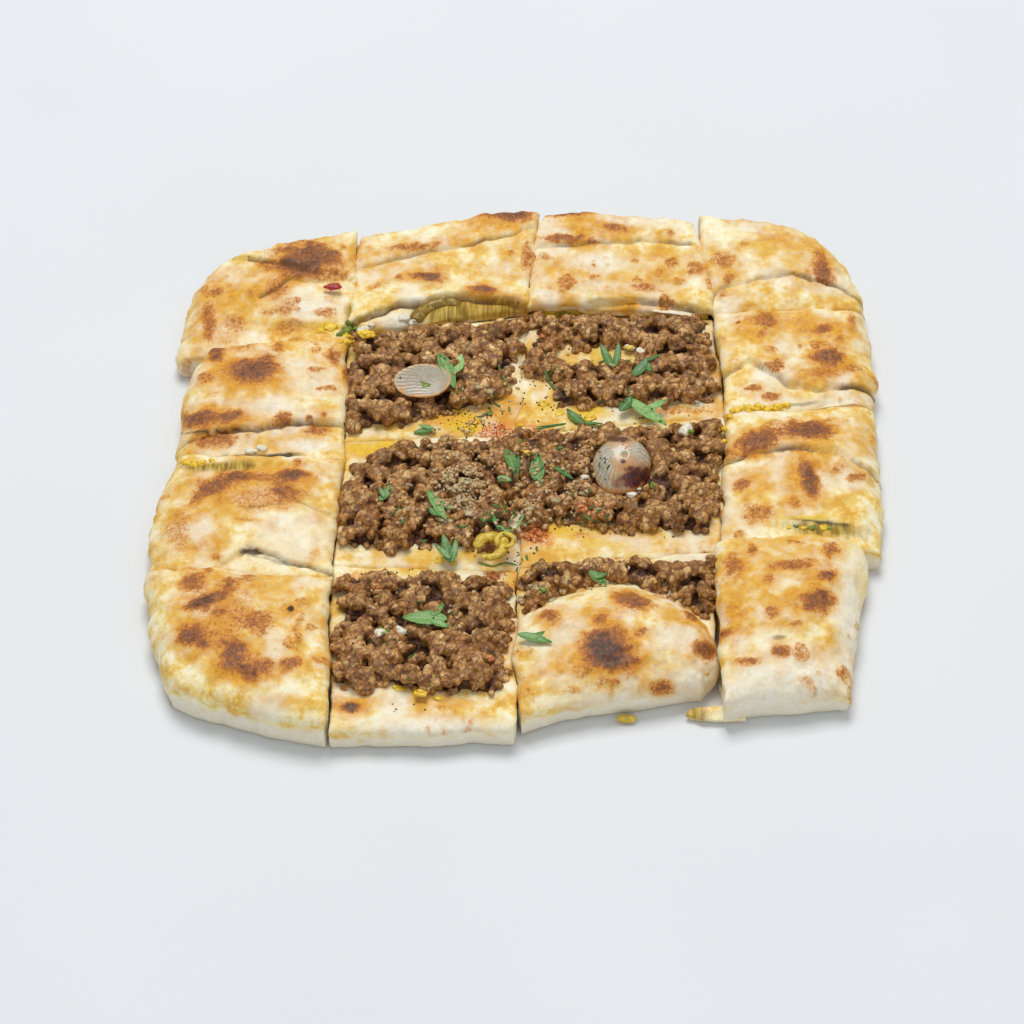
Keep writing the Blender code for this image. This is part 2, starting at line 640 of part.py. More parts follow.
def make_heap(heap, materials, collection):
    """Minced meat: a smaller core with its crumbs fused on."""
    draw = random.Random(heap)
    crumbs = make_collection("crumbs_" + heap)
    patches = HEAPS[heap]
    body = make_core(heap, 0, patches[0], materials["meat"], collection)
    for number, patch in enumerate(patches[1:], 1):
        make_core(heap, number, patch, materials["meat"], crumbs)
    base = heap_base(heap)
    for number, point in enumerate(crumb_places(heap, draw)):
        radius = min(draw.uniform(*CRUMB_RADIUS), room_at(heap, point) / CRUMB_SPREAD)
        if radius > CRUMB_LEAST and clear_of_toppings(heap, point, radius):
            top = base + core_height(heap, point)
            make_crumb(f"crumb_{number}", point, radius, base, top, draw, materials["meat"], crumbs)
    apply_boolean(body, crumbs, "UNION")
    for crumb in list(crumbs.objects):
        bpy.data.objects.remove(crumb, do_unlink=True)
    bpy.data.collections.remove(crumbs)
    body.name = heap
    keep_largest_body(body)


def bed_height(bed, point):
    """The height of what a topping lies on: a heap's core or the dough of a piece."""
    if bed in HEAPS:
        return heap_base(bed) + core_height(bed, point)
    corners = corners_of(bed)
    centre = sum(corners, Vector((0, 0))) / 4
    width, depth = span_of(corners)
    u = max(-1, min(1, 2 * (point.x - centre.x) / width))
    v = max(-1, min(1, 2 * (point.y - centre.y) / depth))
    return surface_height(bed, u, v, point)


def highest_bed(bed, middle, reach):
    """The highest place of what a topping lies on, under its whole width."""
    highest = 0
    for step in range(12):
        angle = math.tau * step / 12
        for share in (0, 0.5, 1):
            spot = middle + Vector((math.cos(angle), math.sin(angle))) * reach * share
            highest = max(highest, bed_height(bed, spot))
    return highest


def make_topping(name, materials, collection):
    """A flattened ball, tilted, that rests on the core of its heap or on the dough."""
    topping = TOPPINGS[name]
    middle = Vector(topping.place)
    round_faces, pole_faces = topping.faces
    grid = bmesh.new()
    bmesh.ops.create_uvsphere(grid, u_segments=round_faces, v_segments=pole_faces, radius=1)
    tilt_x, tilt_y = topping.tilt
    turn = Euler((math.radians(tilt_x), math.radians(tilt_y), math.radians(topping.turn))).to_matrix()
    for vertex in grid.verts:
        vertex.co = turn @ Vector([part * radius for part, radius in zip(vertex.co, topping.radii)])
    lowest = min(vertex.co.z for vertex in grid.verts)
    floor = highest_bed(topping.bed, middle, max(topping.radii[:2]) * 0.8)
    for vertex in grid.verts:
        vertex.co += Vector((middle.x, middle.y, floor + REST_GAP - lowest))
    return finish_object(name, grid, materials[topping.material], collection)


def make_leaf(name, materials, collection):
    """A parsley leaf: a thin, wavy, lobed blade."""
    leaf = LEAVES[name]
    middle = Vector(leaf.place)
    heading = math.radians(leaf.heading)
    way = Vector((math.cos(heading), math.sin(heading)))
    side = Vector((-way.y, way.x))
    floor = highest_bed(leaf.bed, middle, leaf.length / 2)
    lift = floor + REST_GAP + LEAF_WAVE + LEAF_THICKNESS / 2
    grid = bmesh.new()
    bmesh.ops.create_grid(grid, x_segments=LEAF_GRID, y_segments=2, size=1)
    bmesh.ops.triangulate(grid, faces=grid.faces)
    for vertex in grid.verts:
        t, s = vertex.co.x, vertex.co.y
        lobes = 0.75 + 0.25 * math.cos(2.5 * math.pi * t)
        half = leaf.width * math.sqrt(max(0.02, 1 - abs(t) ** 2.5)) * lobes
        point = middle + way * (t * leaf.length / 2) + side * (s * half)
        wave = LEAF_WAVE * math.sin(2.2 * t + leaf.heading) * math.cos(1.5 * s)
        vertex.co = (point.x, point.y, lift + wave)
    blade = finish_object(name, grid, materials["parsley"], collection)
    thickness = blade.modifiers.new("thickness", "SOLIDIFY")
    thickness.thickness = LEAF_THICKNESS * MM
    thickness.offset = 0
    return blade


def make_egg_front(material, collection):
    """The corner of filling that shows on the ground under the flap."""
    grid = bmesh.new()
    bmesh.ops.create_icosphere(grid, subdivisions=2, radius=1)
    for vertex in grid.verts:
        spot = Vector([part * radius for part, radius in zip(vertex.co, EGG_FRONT_RADII)])
        vertex.co = spot + Vector(EGG_FRONT_PLACE)
    return finish_object("egg_front", grid, material, collection)


def main():
    clear_scene()
    collection = make_collection("meat_fatayer")
    helpers = make_collection("helpers")
    materials = {name: make_material(name) for name in COLOURS}
    for name in PIECES:
        if name in JOINED.values():
            continue
        if name in FILLED:
            dough = make_folded_piece(name, materials, collection, helpers)
        else:
            dough = make_dough(name, materials["dough"], collection)
        if name in JOINED:
            join_dough(dough, JOINED[name], materials["dough"], helpers)
    for heap in HEAPS:
        make_heap(heap, materials, collection)
    for name in TOPPINGS:
        make_topping(name, materials, collection)
    for name in LEAVES:
        make_leaf(name, materials, collection)
    make_egg_front(materials["egg"], collection)


main()
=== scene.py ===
"""Looks of the meat fatayer: browned folded dough, minced meat, onion, parsley, egg and spices.

World units are metres. The plan tables are in millimetres and follow part.py's, with a few outlines
nearer to the photograph. Pixel positions are those of the 1024 by 1024 photograph; the camera below
turns one into the other.
"""

import itertools
import math
import random
from collections import namedtuple

import bmesh
import bpy
import numpy as np
from mathutils import Matrix, Vector
from mathutils.bvhtree import BVHTree


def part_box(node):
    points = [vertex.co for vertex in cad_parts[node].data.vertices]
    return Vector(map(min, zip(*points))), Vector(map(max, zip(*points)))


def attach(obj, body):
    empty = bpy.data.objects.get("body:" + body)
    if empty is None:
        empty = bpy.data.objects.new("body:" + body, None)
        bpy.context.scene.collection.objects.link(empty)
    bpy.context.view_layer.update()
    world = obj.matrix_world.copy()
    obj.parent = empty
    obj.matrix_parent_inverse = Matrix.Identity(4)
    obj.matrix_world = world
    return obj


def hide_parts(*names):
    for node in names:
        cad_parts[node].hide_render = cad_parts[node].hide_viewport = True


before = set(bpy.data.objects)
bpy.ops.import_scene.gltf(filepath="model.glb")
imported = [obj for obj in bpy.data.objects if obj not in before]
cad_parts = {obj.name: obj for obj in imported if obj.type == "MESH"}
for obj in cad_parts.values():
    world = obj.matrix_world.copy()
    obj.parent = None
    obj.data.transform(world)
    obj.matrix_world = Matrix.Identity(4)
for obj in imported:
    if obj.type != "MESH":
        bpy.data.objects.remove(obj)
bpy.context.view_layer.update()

MM = 0.001

# ---------------------------------------------------------------- camera of the photograph
PICTURE = 1024
FOCAL_PIXELS = 3262
SENSOR = 36
CAMERA_DISTANCE = 1308
CAMERA_ELEVATION = math.radians(45)
PLAN_MIDDLE = np.array((3.92, 15.64))
BACKWARD = np.array((0, -math.cos(CAMERA_ELEVATION), math.sin(CAMERA_ELEVATION)))
UPWARD = np.array((0, math.sin(CAMERA_ELEVATION), math.cos(CAMERA_ELEVATION)))


def to_pixels(points):
    """Where points in plan millimetres (N by 3) fall in the photograph."""
    off = points - BACKWARD * CAMERA_DISTANCE
    depth = -off @ BACKWARD
    x = PICTURE / 2 + FOCAL_PIXELS * off[:, 0] / depth
    y = PICTURE / 2 - FOCAL_PIXELS * (off @ UPWARD) / depth
    return np.stack([x, y], 1)


def ray_of(x, y):
    """The way that a pixel of the photograph looks."""
    ray = -BACKWARD + UPWARD * (PICTURE / 2 - y) / FOCAL_PIXELS
    return ray + np.array((1, 0, 0)) * (x - PICTURE / 2) / FOCAL_PIXELS


def from_pixel(x, y, height):
    """The plan point at a height that a pixel of the photograph shows."""
    ray = ray_of(x, y)
    reach = (height - BACKWARD[2] * CAMERA_DISTANCE) / ray[2]
    return (BACKWARD * CAMERA_DISTANCE + ray * reach)[:2]


# ---------------------------------------------------------------- the plan
CUT_WIDTH = 0.15
LINES_X = (
    (-132, -143.5, -136, -140, -133),
    (-69.5, -69, -68, -68, -65),
    (1.5, 2.5, 2, 6, 11.5),
    (75, 81, 87, 85, 78.5),
    (127, 146, 149, 148.5, 142),
)
LINES_Y = (
    ((-107, -128), (-46, -53), (19, 15), (77, 86), (136, 150)),
    ((-127, -124), (-43, -45), (27.5, 31.5), (90, 103), (146, 155)),
    ((-120, -109), (-43, -35), (31.5, 41), (103, 102), (155, 154)),
    ((-113, -107), (-37, -34), (39, 48), (101.5, 106), (160, 148)),
)
Side = namedtuple("Side", "round_over rim tuck is_cut")
CUT = Side(1.6, 0.92, 0.5, True)
SUNK = Side(5, 0.72, 0.5, True)
FOLD = Side(11, 0.52, 5, False)
BLUNT = Side(7, 0.74, 3, False)
RIDGE = Side(6, 0.88, 2.5, False)
LIP = Side(8, 0.8, 2, False)
PUFFED = Side(3.2, 0.87, 0.5, True)
Piece = namedtuple("Piece", "heights crown sides bows corners")
OPEN_SLAB = Piece((13, 13, 13, 13), 0, (CUT, CUT, CUT, CUT), (0, 0, 0, 0), (0, 0, 0, 0))
PIECES = {
    "r1c1": Piece((13, 17, 25, 16), 4, (CUT, CUT, BLUNT, FOLD), (0, 0, 0, 1), (0.1, 0, 0.1, 0.6)),
    "r1c2": Piece((17, 18, 29, 21), 1, (CUT, CUT, RIDGE, CUT), (0, 0, 1, 0), (0, 0, 0.1, 0.1)),
    "r1c3": Piece((19, 18, 24, 28), 1, (CUT, CUT, RIDGE, CUT), (0, 0, 2, 0), (0, 0, 0.15, 0.1)),
    "r1c4": Piece((18, 16, 17, 26), 4, (CUT, FOLD, BLUNT, CUT), (0, 0, 2, 0), (0, 0, 1, 0.15)),
    "r2c1": Piece((14, 15, 19, 18), 6, (CUT, CUT, SUNK, FOLD), (0, 0, 1, -1), (0.1, 0, 0, 0.7)),
    "r3c1": Piece((14, 17, 17, 16), 6, (CUT, CUT, SUNK, FOLD), (0, 0, 0, 1.5), (0.15, 0, 0, 0.15)),
    "r4c1": Piece((17, 19, 20, 18), 7, (BLUNT, CUT, SUNK, FOLD), (1.5, 0, 0, 0), (0.4, 0.05, 0, 0.15)),
    "r2c4": Piece((17, 14, 16, 19), 4, (CUT, FOLD, SUNK, CUT), (0, 1.5, 0, 0), (0, 0.1, 0.1, 0)),
    "r3c4": Piece((16, 13, 15, 18), 5, (CUT, FOLD, SUNK, CUT), (0, -0.5, 0, 0), (0, 0.15, 0.1, 0)),
    "r4c4": Piece((18, 15, 17, 20), 7, (BLUNT, FOLD, SUNK, CUT), (-3, -3, 0, 0), (0.1, 0.2, 0.6, 0.3)),
    "r2c2": OPEN_SLAB,
    "r2c3": OPEN_SLAB,
    "r3c2": OPEN_SLAB,
    "r3c3": OPEN_SLAB,
    "r4c2": OPEN_SLAB._replace(sides=(BLUNT, CUT, CUT, CUT)),
    "r4c3": OPEN_SLAB,
    "flap": Piece((15, 14, 16, 17), 9, (BLUNT, FOLD, LIP, CUT), (-3.5, 1, 23, 0), (0.05, 0.7, 0.5, 0.1)),
    "tongue": Piece((3.4, 4, 5, 4), 0.4, (BLUNT, BLUNT, CUT, BLUNT), (0.5, 0, 0, 1), (0.5, 0.1, 0, 0.6)),
}
OUTLINES = {
    "r2c1": ((-136, 19), (-68, 15), (-68, 86), (-136, 78)),
    "r4c2": ((-68.3, -127.5), (0.4, -125), (2.2, -45), (-69, -43)),
    "r4c3": ((2, -102), (75, -99), (81, -35), (2.5, -43)),
    "r4c4": ((79.8, -116), (127, -110.5), (146, -29), (77.5, -30.5)),
    "flap": ((2.2, -121.5), (77.5, -106.5), (80.5, -80), (0.8, -75)),
    "tongue": ((67, -112.2), (88, -113), (88, -106.5), (64.3, -109)),
}
BELONGS_TO = {"flap": "r4c3", "tongue": "r4c4"}
FILLED = ("r1c1", "r1c2", "r1c3", "r1c4", "r2c1", "r3c1", "r4c1", "r2c4", "r3c4", "r4c4")
# The pockets of the folded pieces: how thick the dough is over and under them, and how far from a
# folded side they end.
ROOF = 3.6
SOLE = 3
POCKET_INSET = 14
SLAB_TOP = 13

# Edges of dough layers that lie over the layer below: the piece, the edge's points as pixels from
# left to right, the height that it was read at, how high it steps up behind and how soon it fades.
Layer = namedtuple("Layer", "piece path height step fade")
LAYERS = (
    Layer("r1c1", ((250, 258), (268, 262), (292, 271), (311, 277), (336, 279), (356, 286)), 21, 1.8, 16),
    Layer("r1c1", ((262, 300), (274, 293), (289, 285), (326, 289), (356, 295)), 19, 1.3, 9),
    Layer("r1c2", ((350, 318), (400, 300), (455, 296), (530, 301)), 22, 3.4, 40),
    Layer("r1c2", ((362, 262), (420, 252), (470, 246), (530, 232)), 25, 1.2, 14),
    Layer("r1c3", ((530, 310), (600, 299), (660, 298), (702, 303)), 22, 2.6, 30),
    Layer("r1c3", ((538, 246), (590, 242), (640, 238), (692, 240)), 26, 1.1, 10),
    Layer("r2c1", ((178, 437), (220, 434), (262, 431), (300, 425), (346, 422)), 18, 2.2, 20),
    Layer("r3c1", ((240, 556), (250, 552), (262, 556), (330, 573)), 17, 1.6, 12),
    Layer("r3c1", ((246, 512), (290, 503), (340, 512)), 20, 0.5, 9),
    Layer("r2c4", ((722, 376), (750, 366), (786, 384), (819, 391), (845, 386), (878, 383)), 18, 2.2, 14),
    Layer("r3c4", ((722, 464), (755, 456), (800, 453), (845, 459), (885, 470)), 18, 2.4, 20),
    Layer("r1c4", ((694, 300), (725, 288), (790, 276), (862, 290)), 20, 1.2, 20),
)

# Colour on the dough: the kind, its middle, half width and half height in the picture, its strength
# and, where it is turned, the angle. The dark kind is painted shade in the gaps, slits and openings
# between pieces and under the edges of layers.
TOAST, GOLD, PALE, EGG, SPICE, OLIVE, GAP_SHADE = range(7)
KINDS = ("toast", "gold", "pale", "egg", "spice", "olive", "dark")
SPOT_SOFTNESS = {GOLD: 0.9, PALE: 0.9, TOAST: 0.76, GAP_SHADE: 0.5}
SPOTS = {
    "r1c1": (
        (TOAST, 311, 258, 42, 17, 0.8, 4), (TOAST, 276, 288, 13, 12, 0.55), (TOAST, 217, 292, 7, 6, 0.6),
        (TOAST, 249, 293, 6, 5, 0.5), (TOAST, 208, 323, 7, 20, 0.5), (TOAST, 187, 369, 6, 9, 0.5),
        (TOAST, 237, 323, 11, 8, 0.35), (TOAST, 290, 326, 13, 8, 0.3), (GOLD, 336, 258, 18, 13, 0.9),
        (GOLD, 250, 290, 62, 34, 0.55), (EGG, 350, 345, 9, 7, 1), (EGG, 325, 330, 9, 4, 0.8),
        (OLIVE, 347, 333, 7, 7, 0.9), (GOLD, 205, 335, 26, 30, 0.6), (PALE, 308, 308, 36, 14, 0.9, 4),
        (OLIVE, 300, 326, 30, 5, 0.35, 4), (OLIVE, 350, 314, 5, 14, 0.9), (GAP_SHADE, 357, 302, 3, 16, 0.8),
        (EGG, 330, 328, 12, 4, 0.9, 8), (SPICE, 338, 289, 10, 3, 0.3, 8), (TOAST, 300, 272, 44, 9, 0.45, 8),
        (TOAST, 225, 335, 30, 24, 0.25), (TOAST, 290, 330, 40, 8, 0.25),
    ),
    "r1c2": (
        (TOAST, 504, 214, 36, 7, 0.85, 4), (GOLD, 457, 242, 26, 7, 0.9), (TOAST, 416, 247, 26, 5, 0.6, -6),
        (TOAST, 427, 278, 20, 5, 0.85, 10), (TOAST, 484, 291, 15, 4, 0.8, 6), (TOAST, 526, 255, 5, 18, 0.5),
        (OLIVE, 440, 311, 30, 13, 1), (GOLD, 480, 226, 46, 13, 0.7), (GOLD, 400, 255, 40, 10, 0.5),
        (OLIVE, 490, 313, 44, 13, 0.75), (GOLD, 490, 310, 50, 14, 1), (TOAST, 500, 304, 30, 3, 0.5),
        (GAP_SHADE, 418, 318, 4, 8, 0.5), (PALE, 396, 320, 22, 8, 0.9),
    ),
    "r1c3": (
        (TOAST, 568, 212, 36, 5, 0.75), (TOAST, 613, 228, 15, 5, 0.7, 6), (TOAST, 562, 239, 26, 5, 0.7, -2),
        (TOAST, 593, 243, 7, 5, 0.5), (TOAST, 670, 233, 6, 5, 0.5), (TOAST, 636, 260, 5, 4, 0.45),
        (TOAST, 671, 262, 8, 7, 0.5), (TOAST, 657, 273, 6, 5, 0.5), (TOAST, 648, 288, 19, 6, 0.5),
        (EGG, 587, 291, 18, 5, 0.35), (GOLD, 600, 230, 60, 18, 0.6), (GOLD, 640, 275, 46, 16, 0.4),
        (PALE, 600, 262, 44, 10, 0.7), (PALE, 612, 288, 60, 7, 0.5),
    ),
    "r1c4": (
        (TOAST, 723, 260, 14, 10, 0.5), (TOAST, 730, 278, 8, 8, 0.5), (TOAST, 745, 245, 7, 6, 0.45),
        (TOAST, 822, 269, 10, 19, 0.75, -20), (GOLD, 772, 238, 34, 7, 0.8, 25),
        (GOLD, 790, 262, 50, 30, 0.45),
    ),
    "r2c1": (
        (TOAST, 216, 354, 9, 8, 0.7), (TOAST, 246, 344, 11, 8, 0.5), (TOAST, 281, 347, 8, 6, 0.5),
        (TOAST, 255, 370, 24, 13, 0.75), (GOLD, 245, 378, 52, 26, 0.9), (TOAST, 334, 358, 9, 12, 0.6),
        (TOAST, 345, 374, 6, 8, 0.6), (TOAST, 200, 420, 26, 8, 0.7), (TOAST, 233, 418, 13, 6, 0.6),
        (TOAST, 216, 442, 30, 8, 0.6), (TOAST, 284, 420, 10, 9, 0.55), (TOAST, 315, 432, 13, 6, 0.6),
        (TOAST, 322, 414, 4, 3, 0.7), (TOAST, 308, 418, 4, 3, 0.7), (TOAST, 323, 389, 11, 3, 0.5),
        (PALE, 310, 385, 24, 16, 0.7), (PALE, 308, 446, 30, 7, 0.95), (GOLD, 225, 425, 50, 22, 0.7),
        (OLIVE, 228, 463, 44, 7, 1, -4), (EGG, 200, 466, 12, 5, 1), (GAP_SHADE, 222, 432, 42, 2.2, 0.85, -3),
        (TOAST, 245, 375, 50, 24, 0.28), (TOAST, 225, 425, 46, 14, 0.3),
        (GAP_SHADE, 282, 456, 22, 3.4, 0.95, -4), (GAP_SHADE, 240, 457, 24, 2.4, 0.6, -6),
        (PALE, 270, 408, 30, 10, 0.8),
    ),
    "r3c1": (
        (TOAST, 215, 484, 32, 10, 0.7, -28), (TOAST, 282, 492, 15, 9, 0.6),
        (TOAST, 292, 474, 16, 6, 0.8, 4), (TOAST, 297, 463, 6, 5, 0.5), (GOLD, 195, 520, 34, 30, 0.6),
        (TOAST, 245, 520, 20, 3, 0.35), (TOAST, 216, 557, 6, 5, 0.4), (PALE, 294, 536, 46, 28, 0.7),
        (GOLD, 255, 487, 60, 18, 0.9), (GOLD, 272, 528, 22, 6, 0.7, 10), (GOLD, 316, 520, 16, 7, 0.6),
        (GOLD, 310, 555, 22, 6, 0.6, 12), (TOAST, 240, 478, 12, 6, 0.5), (GOLD, 205, 545, 26, 12, 0.7),
        (TOAST, 255, 500, 50, 14, 0.35), (TOAST, 180, 530, 14, 24, 0.35), (TOAST, 270, 478, 40, 7, 0.5, 4),
        (TOAST, 318, 552, 8, 8, 0.35, 30), (OLIVE, 225, 466, 46, 5, 0.8, -4),
        (GAP_SHADE, 252, 553, 11, 3.2, 1, 8), (GAP_SHADE, 290, 565, 40, 1.8, 0.5, 12),
    ),
    "r4c1": (
        (TOAST, 193, 583, 13, 12, 0.6), (TOAST, 206, 571, 6, 5, 0.5), (TOAST, 230, 586, 11, 9, 0.55),
        (TOAST, 249, 579, 9, 8, 0.5), (TOAST, 205, 601, 17, 7, 0.95, -20), (TOAST, 216, 612, 13, 6, 0.5),
        (TOAST, 194, 638, 18, 12, 0.8, 10), (TOAST, 236, 654, 15, 13, 0.6, 30),
        (TOAST, 231, 668, 9, 8, 0.5), (TOAST, 252, 675, 11, 10, 0.6), (TOAST, 267, 667, 9, 8, 0.5),
        (TOAST, 291, 665, 11, 7, 0.65), (TOAST, 258, 619, 24, 13, 0.38), (TOAST, 271, 573, 7, 6, 0.4),
        (TOAST, 298, 639, 5, 15, 0.4), (TOAST, 301, 620, 4, 12, 0.4, 20), (GOLD, 280, 701, 22, 11, 0.7),
        (TOAST, 291, 609, 3, 3, 1), (GOLD, 215, 620, 50, 50, 0.55, 30), (GOLD, 245, 665, 40, 22, 0.7),
        (GAP_SHADE, 291, 609, 3, 3, 1), (TOAST, 235, 615, 50, 34, 0.3, 20), (TOAST, 245, 662, 34, 16, 0.4, 20),
    ),
    "r2c4": (
        (TOAST, 766, 320, 15, 8, 0.6), (TOAST, 763, 334, 6, 5, 0.5), (TOAST, 803, 323, 13, 8, 0.3),
        (TOAST, 821, 330, 10, 6, 0.7), (TOAST, 841, 339, 6, 5, 0.5), (TOAST, 850, 324, 5, 10, 0.5),
        (TOAST, 829, 357, 17, 8, 0.8), (GOLD, 833, 376, 20, 17, 0.95), (TOAST, 773, 365, 10, 7, 0.6),
        (GOLD, 804, 376, 20, 16, 0.9), (TOAST, 751, 389, 10, 4, 0.6), (TOAST, 770, 396, 12, 5, 0.6),
        (TOAST, 739, 323, 3, 3, 0.8), (TOAST, 825, 372, 22, 10, 0.45), (GOLD, 780, 330, 60, 22, 0.5),
        (EGG, 762, 409, 30, 4, 0.9, -4), (PALE, 836, 404, 40, 7, 0.9, -2),
        (GAP_SHADE, 800, 404, 22, 2.2, 0.5, -3),
    ),
    "r3c4": (
        (TOAST, 757, 443, 36, 11, 0.8, -22), (TOAST, 812, 430, 30, 11, 0.8, 4),
        (TOAST, 808, 479, 10, 21, 0.85, -25), (TOAST, 743, 486, 15, 7, 0.65, -20),
        (TOAST, 837, 473, 9, 4, 0.5), (TOAST, 856, 479, 9, 8, 0.5), (TOAST, 758, 515, 20, 11, 0.5),
        (TOAST, 797, 503, 9, 8, 0.5), (GOLD, 795, 475, 60, 34, 0.7), (OLIVE, 824, 530, 44, 9, 0.85, 5),
        (EGG, 806, 519, 34, 4, 0.8, -4), (GAP_SHADE, 822, 523, 34, 2, 0.75, 5),
    ),
    "r4c4": (
        (TOAST, 752, 550, 7, 6, 0.6), (TOAST, 734, 568, 12, 14, 0.6, 20), (TOAST, 796, 543, 11, 3, 0.5, 15),
        (TOAST, 829, 552, 9, 8, 0.6), (TOAST, 792, 565, 23, 7, 0.6, -5), (TOAST, 770, 580, 7, 6, 0.5),
        (TOAST, 828, 576, 12, 7, 0.8), (TOAST, 819, 601, 21, 13, 0.75, -10), (TOAST, 773, 612, 10, 9, 0.6),
        (TOAST, 723, 634, 16, 8, 0.7, -15), (GOLD, 726, 619, 20, 24, 0.9), (TOAST, 782, 652, 10, 7, 0.7),
        (TOAST, 751, 663, 14, 5, 0.65, -5), (TOAST, 797, 624, 8, 4, 0.5), (GOLD, 785, 590, 60, 46, 0.4),
        (OLIVE, 693, 717, 16, 8, 0.6), (GAP_SHADE, 782, 638, 9, 2.2, 0.6, -6), (PALE, 800, 680, 56, 32, 1),
        (PALE, 750, 696, 44, 20, 1), (PALE, 850, 620, 16, 60, 0.9), (GOLD, 740, 610, 20, 36, 0.7),
    ),
    "flap": (
        (TOAST, 607, 650, 24, 18, 1, 10), (TOAST, 607, 650, 38, 26, 0.5, 10), (GOLD, 605, 657, 52, 32, 0.9),
        (TOAST, 552, 619, 12, 9, 0.7), (TOAST, 633, 602, 21, 9, 0.75, 10),
        (TOAST, 706, 652, 15, 11, 0.85, 10), (TOAST, 661, 687, 14, 9, 0.7),
        (TOAST, 693, 616, 10, 5, 0.7, 35), (TOAST, 598, 619, 8, 6, 0.6), (TOAST, 643, 632, 7, 6, 0.6),
        (GOLD, 557, 669, 20, 13, 0.9), (GOLD, 526, 683, 12, 12, 0.8), (GOLD, 610, 610, 60, 16, 0.6, -10),
        (GOLD, 690, 650, 30, 40, 0.5), (PALE, 690, 684, 34, 18, 0.95), (PALE, 620, 702, 70, 10, 0.8),
        (PALE, 668, 640, 18, 14, 0.7), (TOAST, 570, 690, 10, 5, 0.35),
    ),
    "r2c2": (
        (EGG, 462, 424, 22, 12, 1), (SPICE, 497, 430, 20, 8, 1, -10), (EGG, 374, 447, 32, 9, 0.9),
        (SPICE, 440, 418, 30, 8, 0.5), (GOLD, 470, 420, 60, 30, 0.7), (EGG, 440, 416, 30, 8, 0.5, -20),
        (PALE, 512, 438, 14, 7, 0.9), (GOLD, 505, 405, 16, 14, 0.8), (TOAST, 508, 415, 8, 8, 0.35),
    ),
    "r2c3": (
        (EGG, 600, 348, 44, 14, 0.6, 20), (EGG, 592, 414, 22, 9, 0.9), (SPICE, 530, 430, 16, 8, 0.8),
        (GOLD, 560, 390, 40, 40, 0.5), (TOAST, 680, 412, 40, 5, 0.4), (EGG, 545, 408, 14, 10, 0.5),
        (PALE, 612, 346, 28, 8, 0.7, 10), (SPICE, 548, 338, 14, 10, 0.6), (EGG, 535, 368, 10, 16, 0.5, 10),
    ),
    "r3c2": (
        (EGG, 440, 556, 60, 8, 0.5), (SPICE, 500, 552, 20, 5, 0.5), (GOLD, 440, 560, 80, 12, 0.5),
        (EGG, 492, 548, 20, 10, 0.8), (EGG, 372, 450, 36, 9, 0.9), (GOLD, 372, 452, 40, 12, 0.9),
        (SPICE, 505, 436, 16, 6, 0.7),
    ),
    "r3c3": (
        (SPICE, 534, 535, 20, 11, 1, 10), (EGG, 560, 530, 40, 10, 0.6), (SPICE, 590, 520, 40, 7, 0.7),
        (EGG, 612, 545, 30, 6, 0.6, 6), (TOAST, 640, 528, 24, 4, 0.35), (GOLD, 620, 537, 90, 16, 0.6),
        (TOAST, 690, 420, 30, 5, 0.4), (PALE, 690, 560, 20, 10, 0.7),
    ),
    "r4c2": (
        (SPICE, 365, 578, 22, 6, 0.7), (GOLD, 420, 702, 90, 7, 0.7), (TOAST, 349, 706, 11, 6, 1),
        (EGG, 418, 688, 26, 8, 0.5), (EGG, 430, 572, 60, 5, 0.4), (TOAST, 440, 708, 12, 3, 0.35),
        (EGG, 361, 742, 7, 3, 0.7), (PALE, 430, 728, 90, 12, 0.9),
    ),
    "tongue": ((OLIVE, 694, 714, 22, 9, 0.7),),
    "r4c3": ((PALE, 690, 556, 24, 10, 0.9), (GOLD, 600, 560, 60, 20, 0.4)),
    "petal": (
        (TOAST, 617, 439, 13, 3.6, 0.75, 2), (TOAST, 637, 477, 19, 10, 1, -16),
        (TOAST, 623, 461, 2.8, 2.4, 0.8), (GOLD, 653, 456, 3, 16, 0.9, 10),
        (GOLD, 604, 488, 12, 2.4, 0.8, 25), (SPICE, 639, 478, 18, 9, 1, -15),
        (GOLD, 616, 492, 24, 2.4, 0.9), (GOLD, 621, 439, 20, 4, 0.8),
    ),
    "slice": (
        (GOLD, 425, 397, 24, 4, 0.9), (GOLD, 402, 390, 4, 6, 0.9, 30), (GOLD, 446, 385, 4, 12, 0.5),
    ),
}

# Heaps of minced meat, each from one to four patches of four corners.
HEAPS = {
    "meat_r2c2": (((-67, 30), (-6, 48), (5, 98), (-66, 89)), ((-24, 54), (-1, 60), (5, 98), (-24, 94))),
    "meat_r2c3": (
        ((8, 86), (56, 82), (80, 99), (10.5, 99)),
        ((52, 46), (83.5, 50), (82, 99), (52, 90)),
        ((16, 48), (58, 46), (58, 74), (20, 72)),
        ((3, 66), (20, 64), (20, 87), (6, 87)),
    ),
    "meat_r3c2": (
        ((-66, -34), (-1, -34), (1.5, 27), (-43, 25)),
        ((-67, -34), (-36, -34), (-40, 25.5), (-66, 12)),
    ),
    "meat_r3c3": (((3, -20), (80, -27), (84.5, 35), (3, 28)),),
    "meat_r4c2": (((-66.5, -106), (-4, -111), (-1, -52), (-66, -50)),),
    "meat_r4c3": (
        ((4.5, -69.5), (22, -56.5), (32, -42), (5, -46)),
        ((22, -56), (36, -53.3), (40, -42), (22, -42)),
        ((36, -53.3), (62, -57.5), (66, -42), (36, -42)),
        ((60, -58.5), (76.3, -74), (79, -41), (60, -42)),
    ),
}
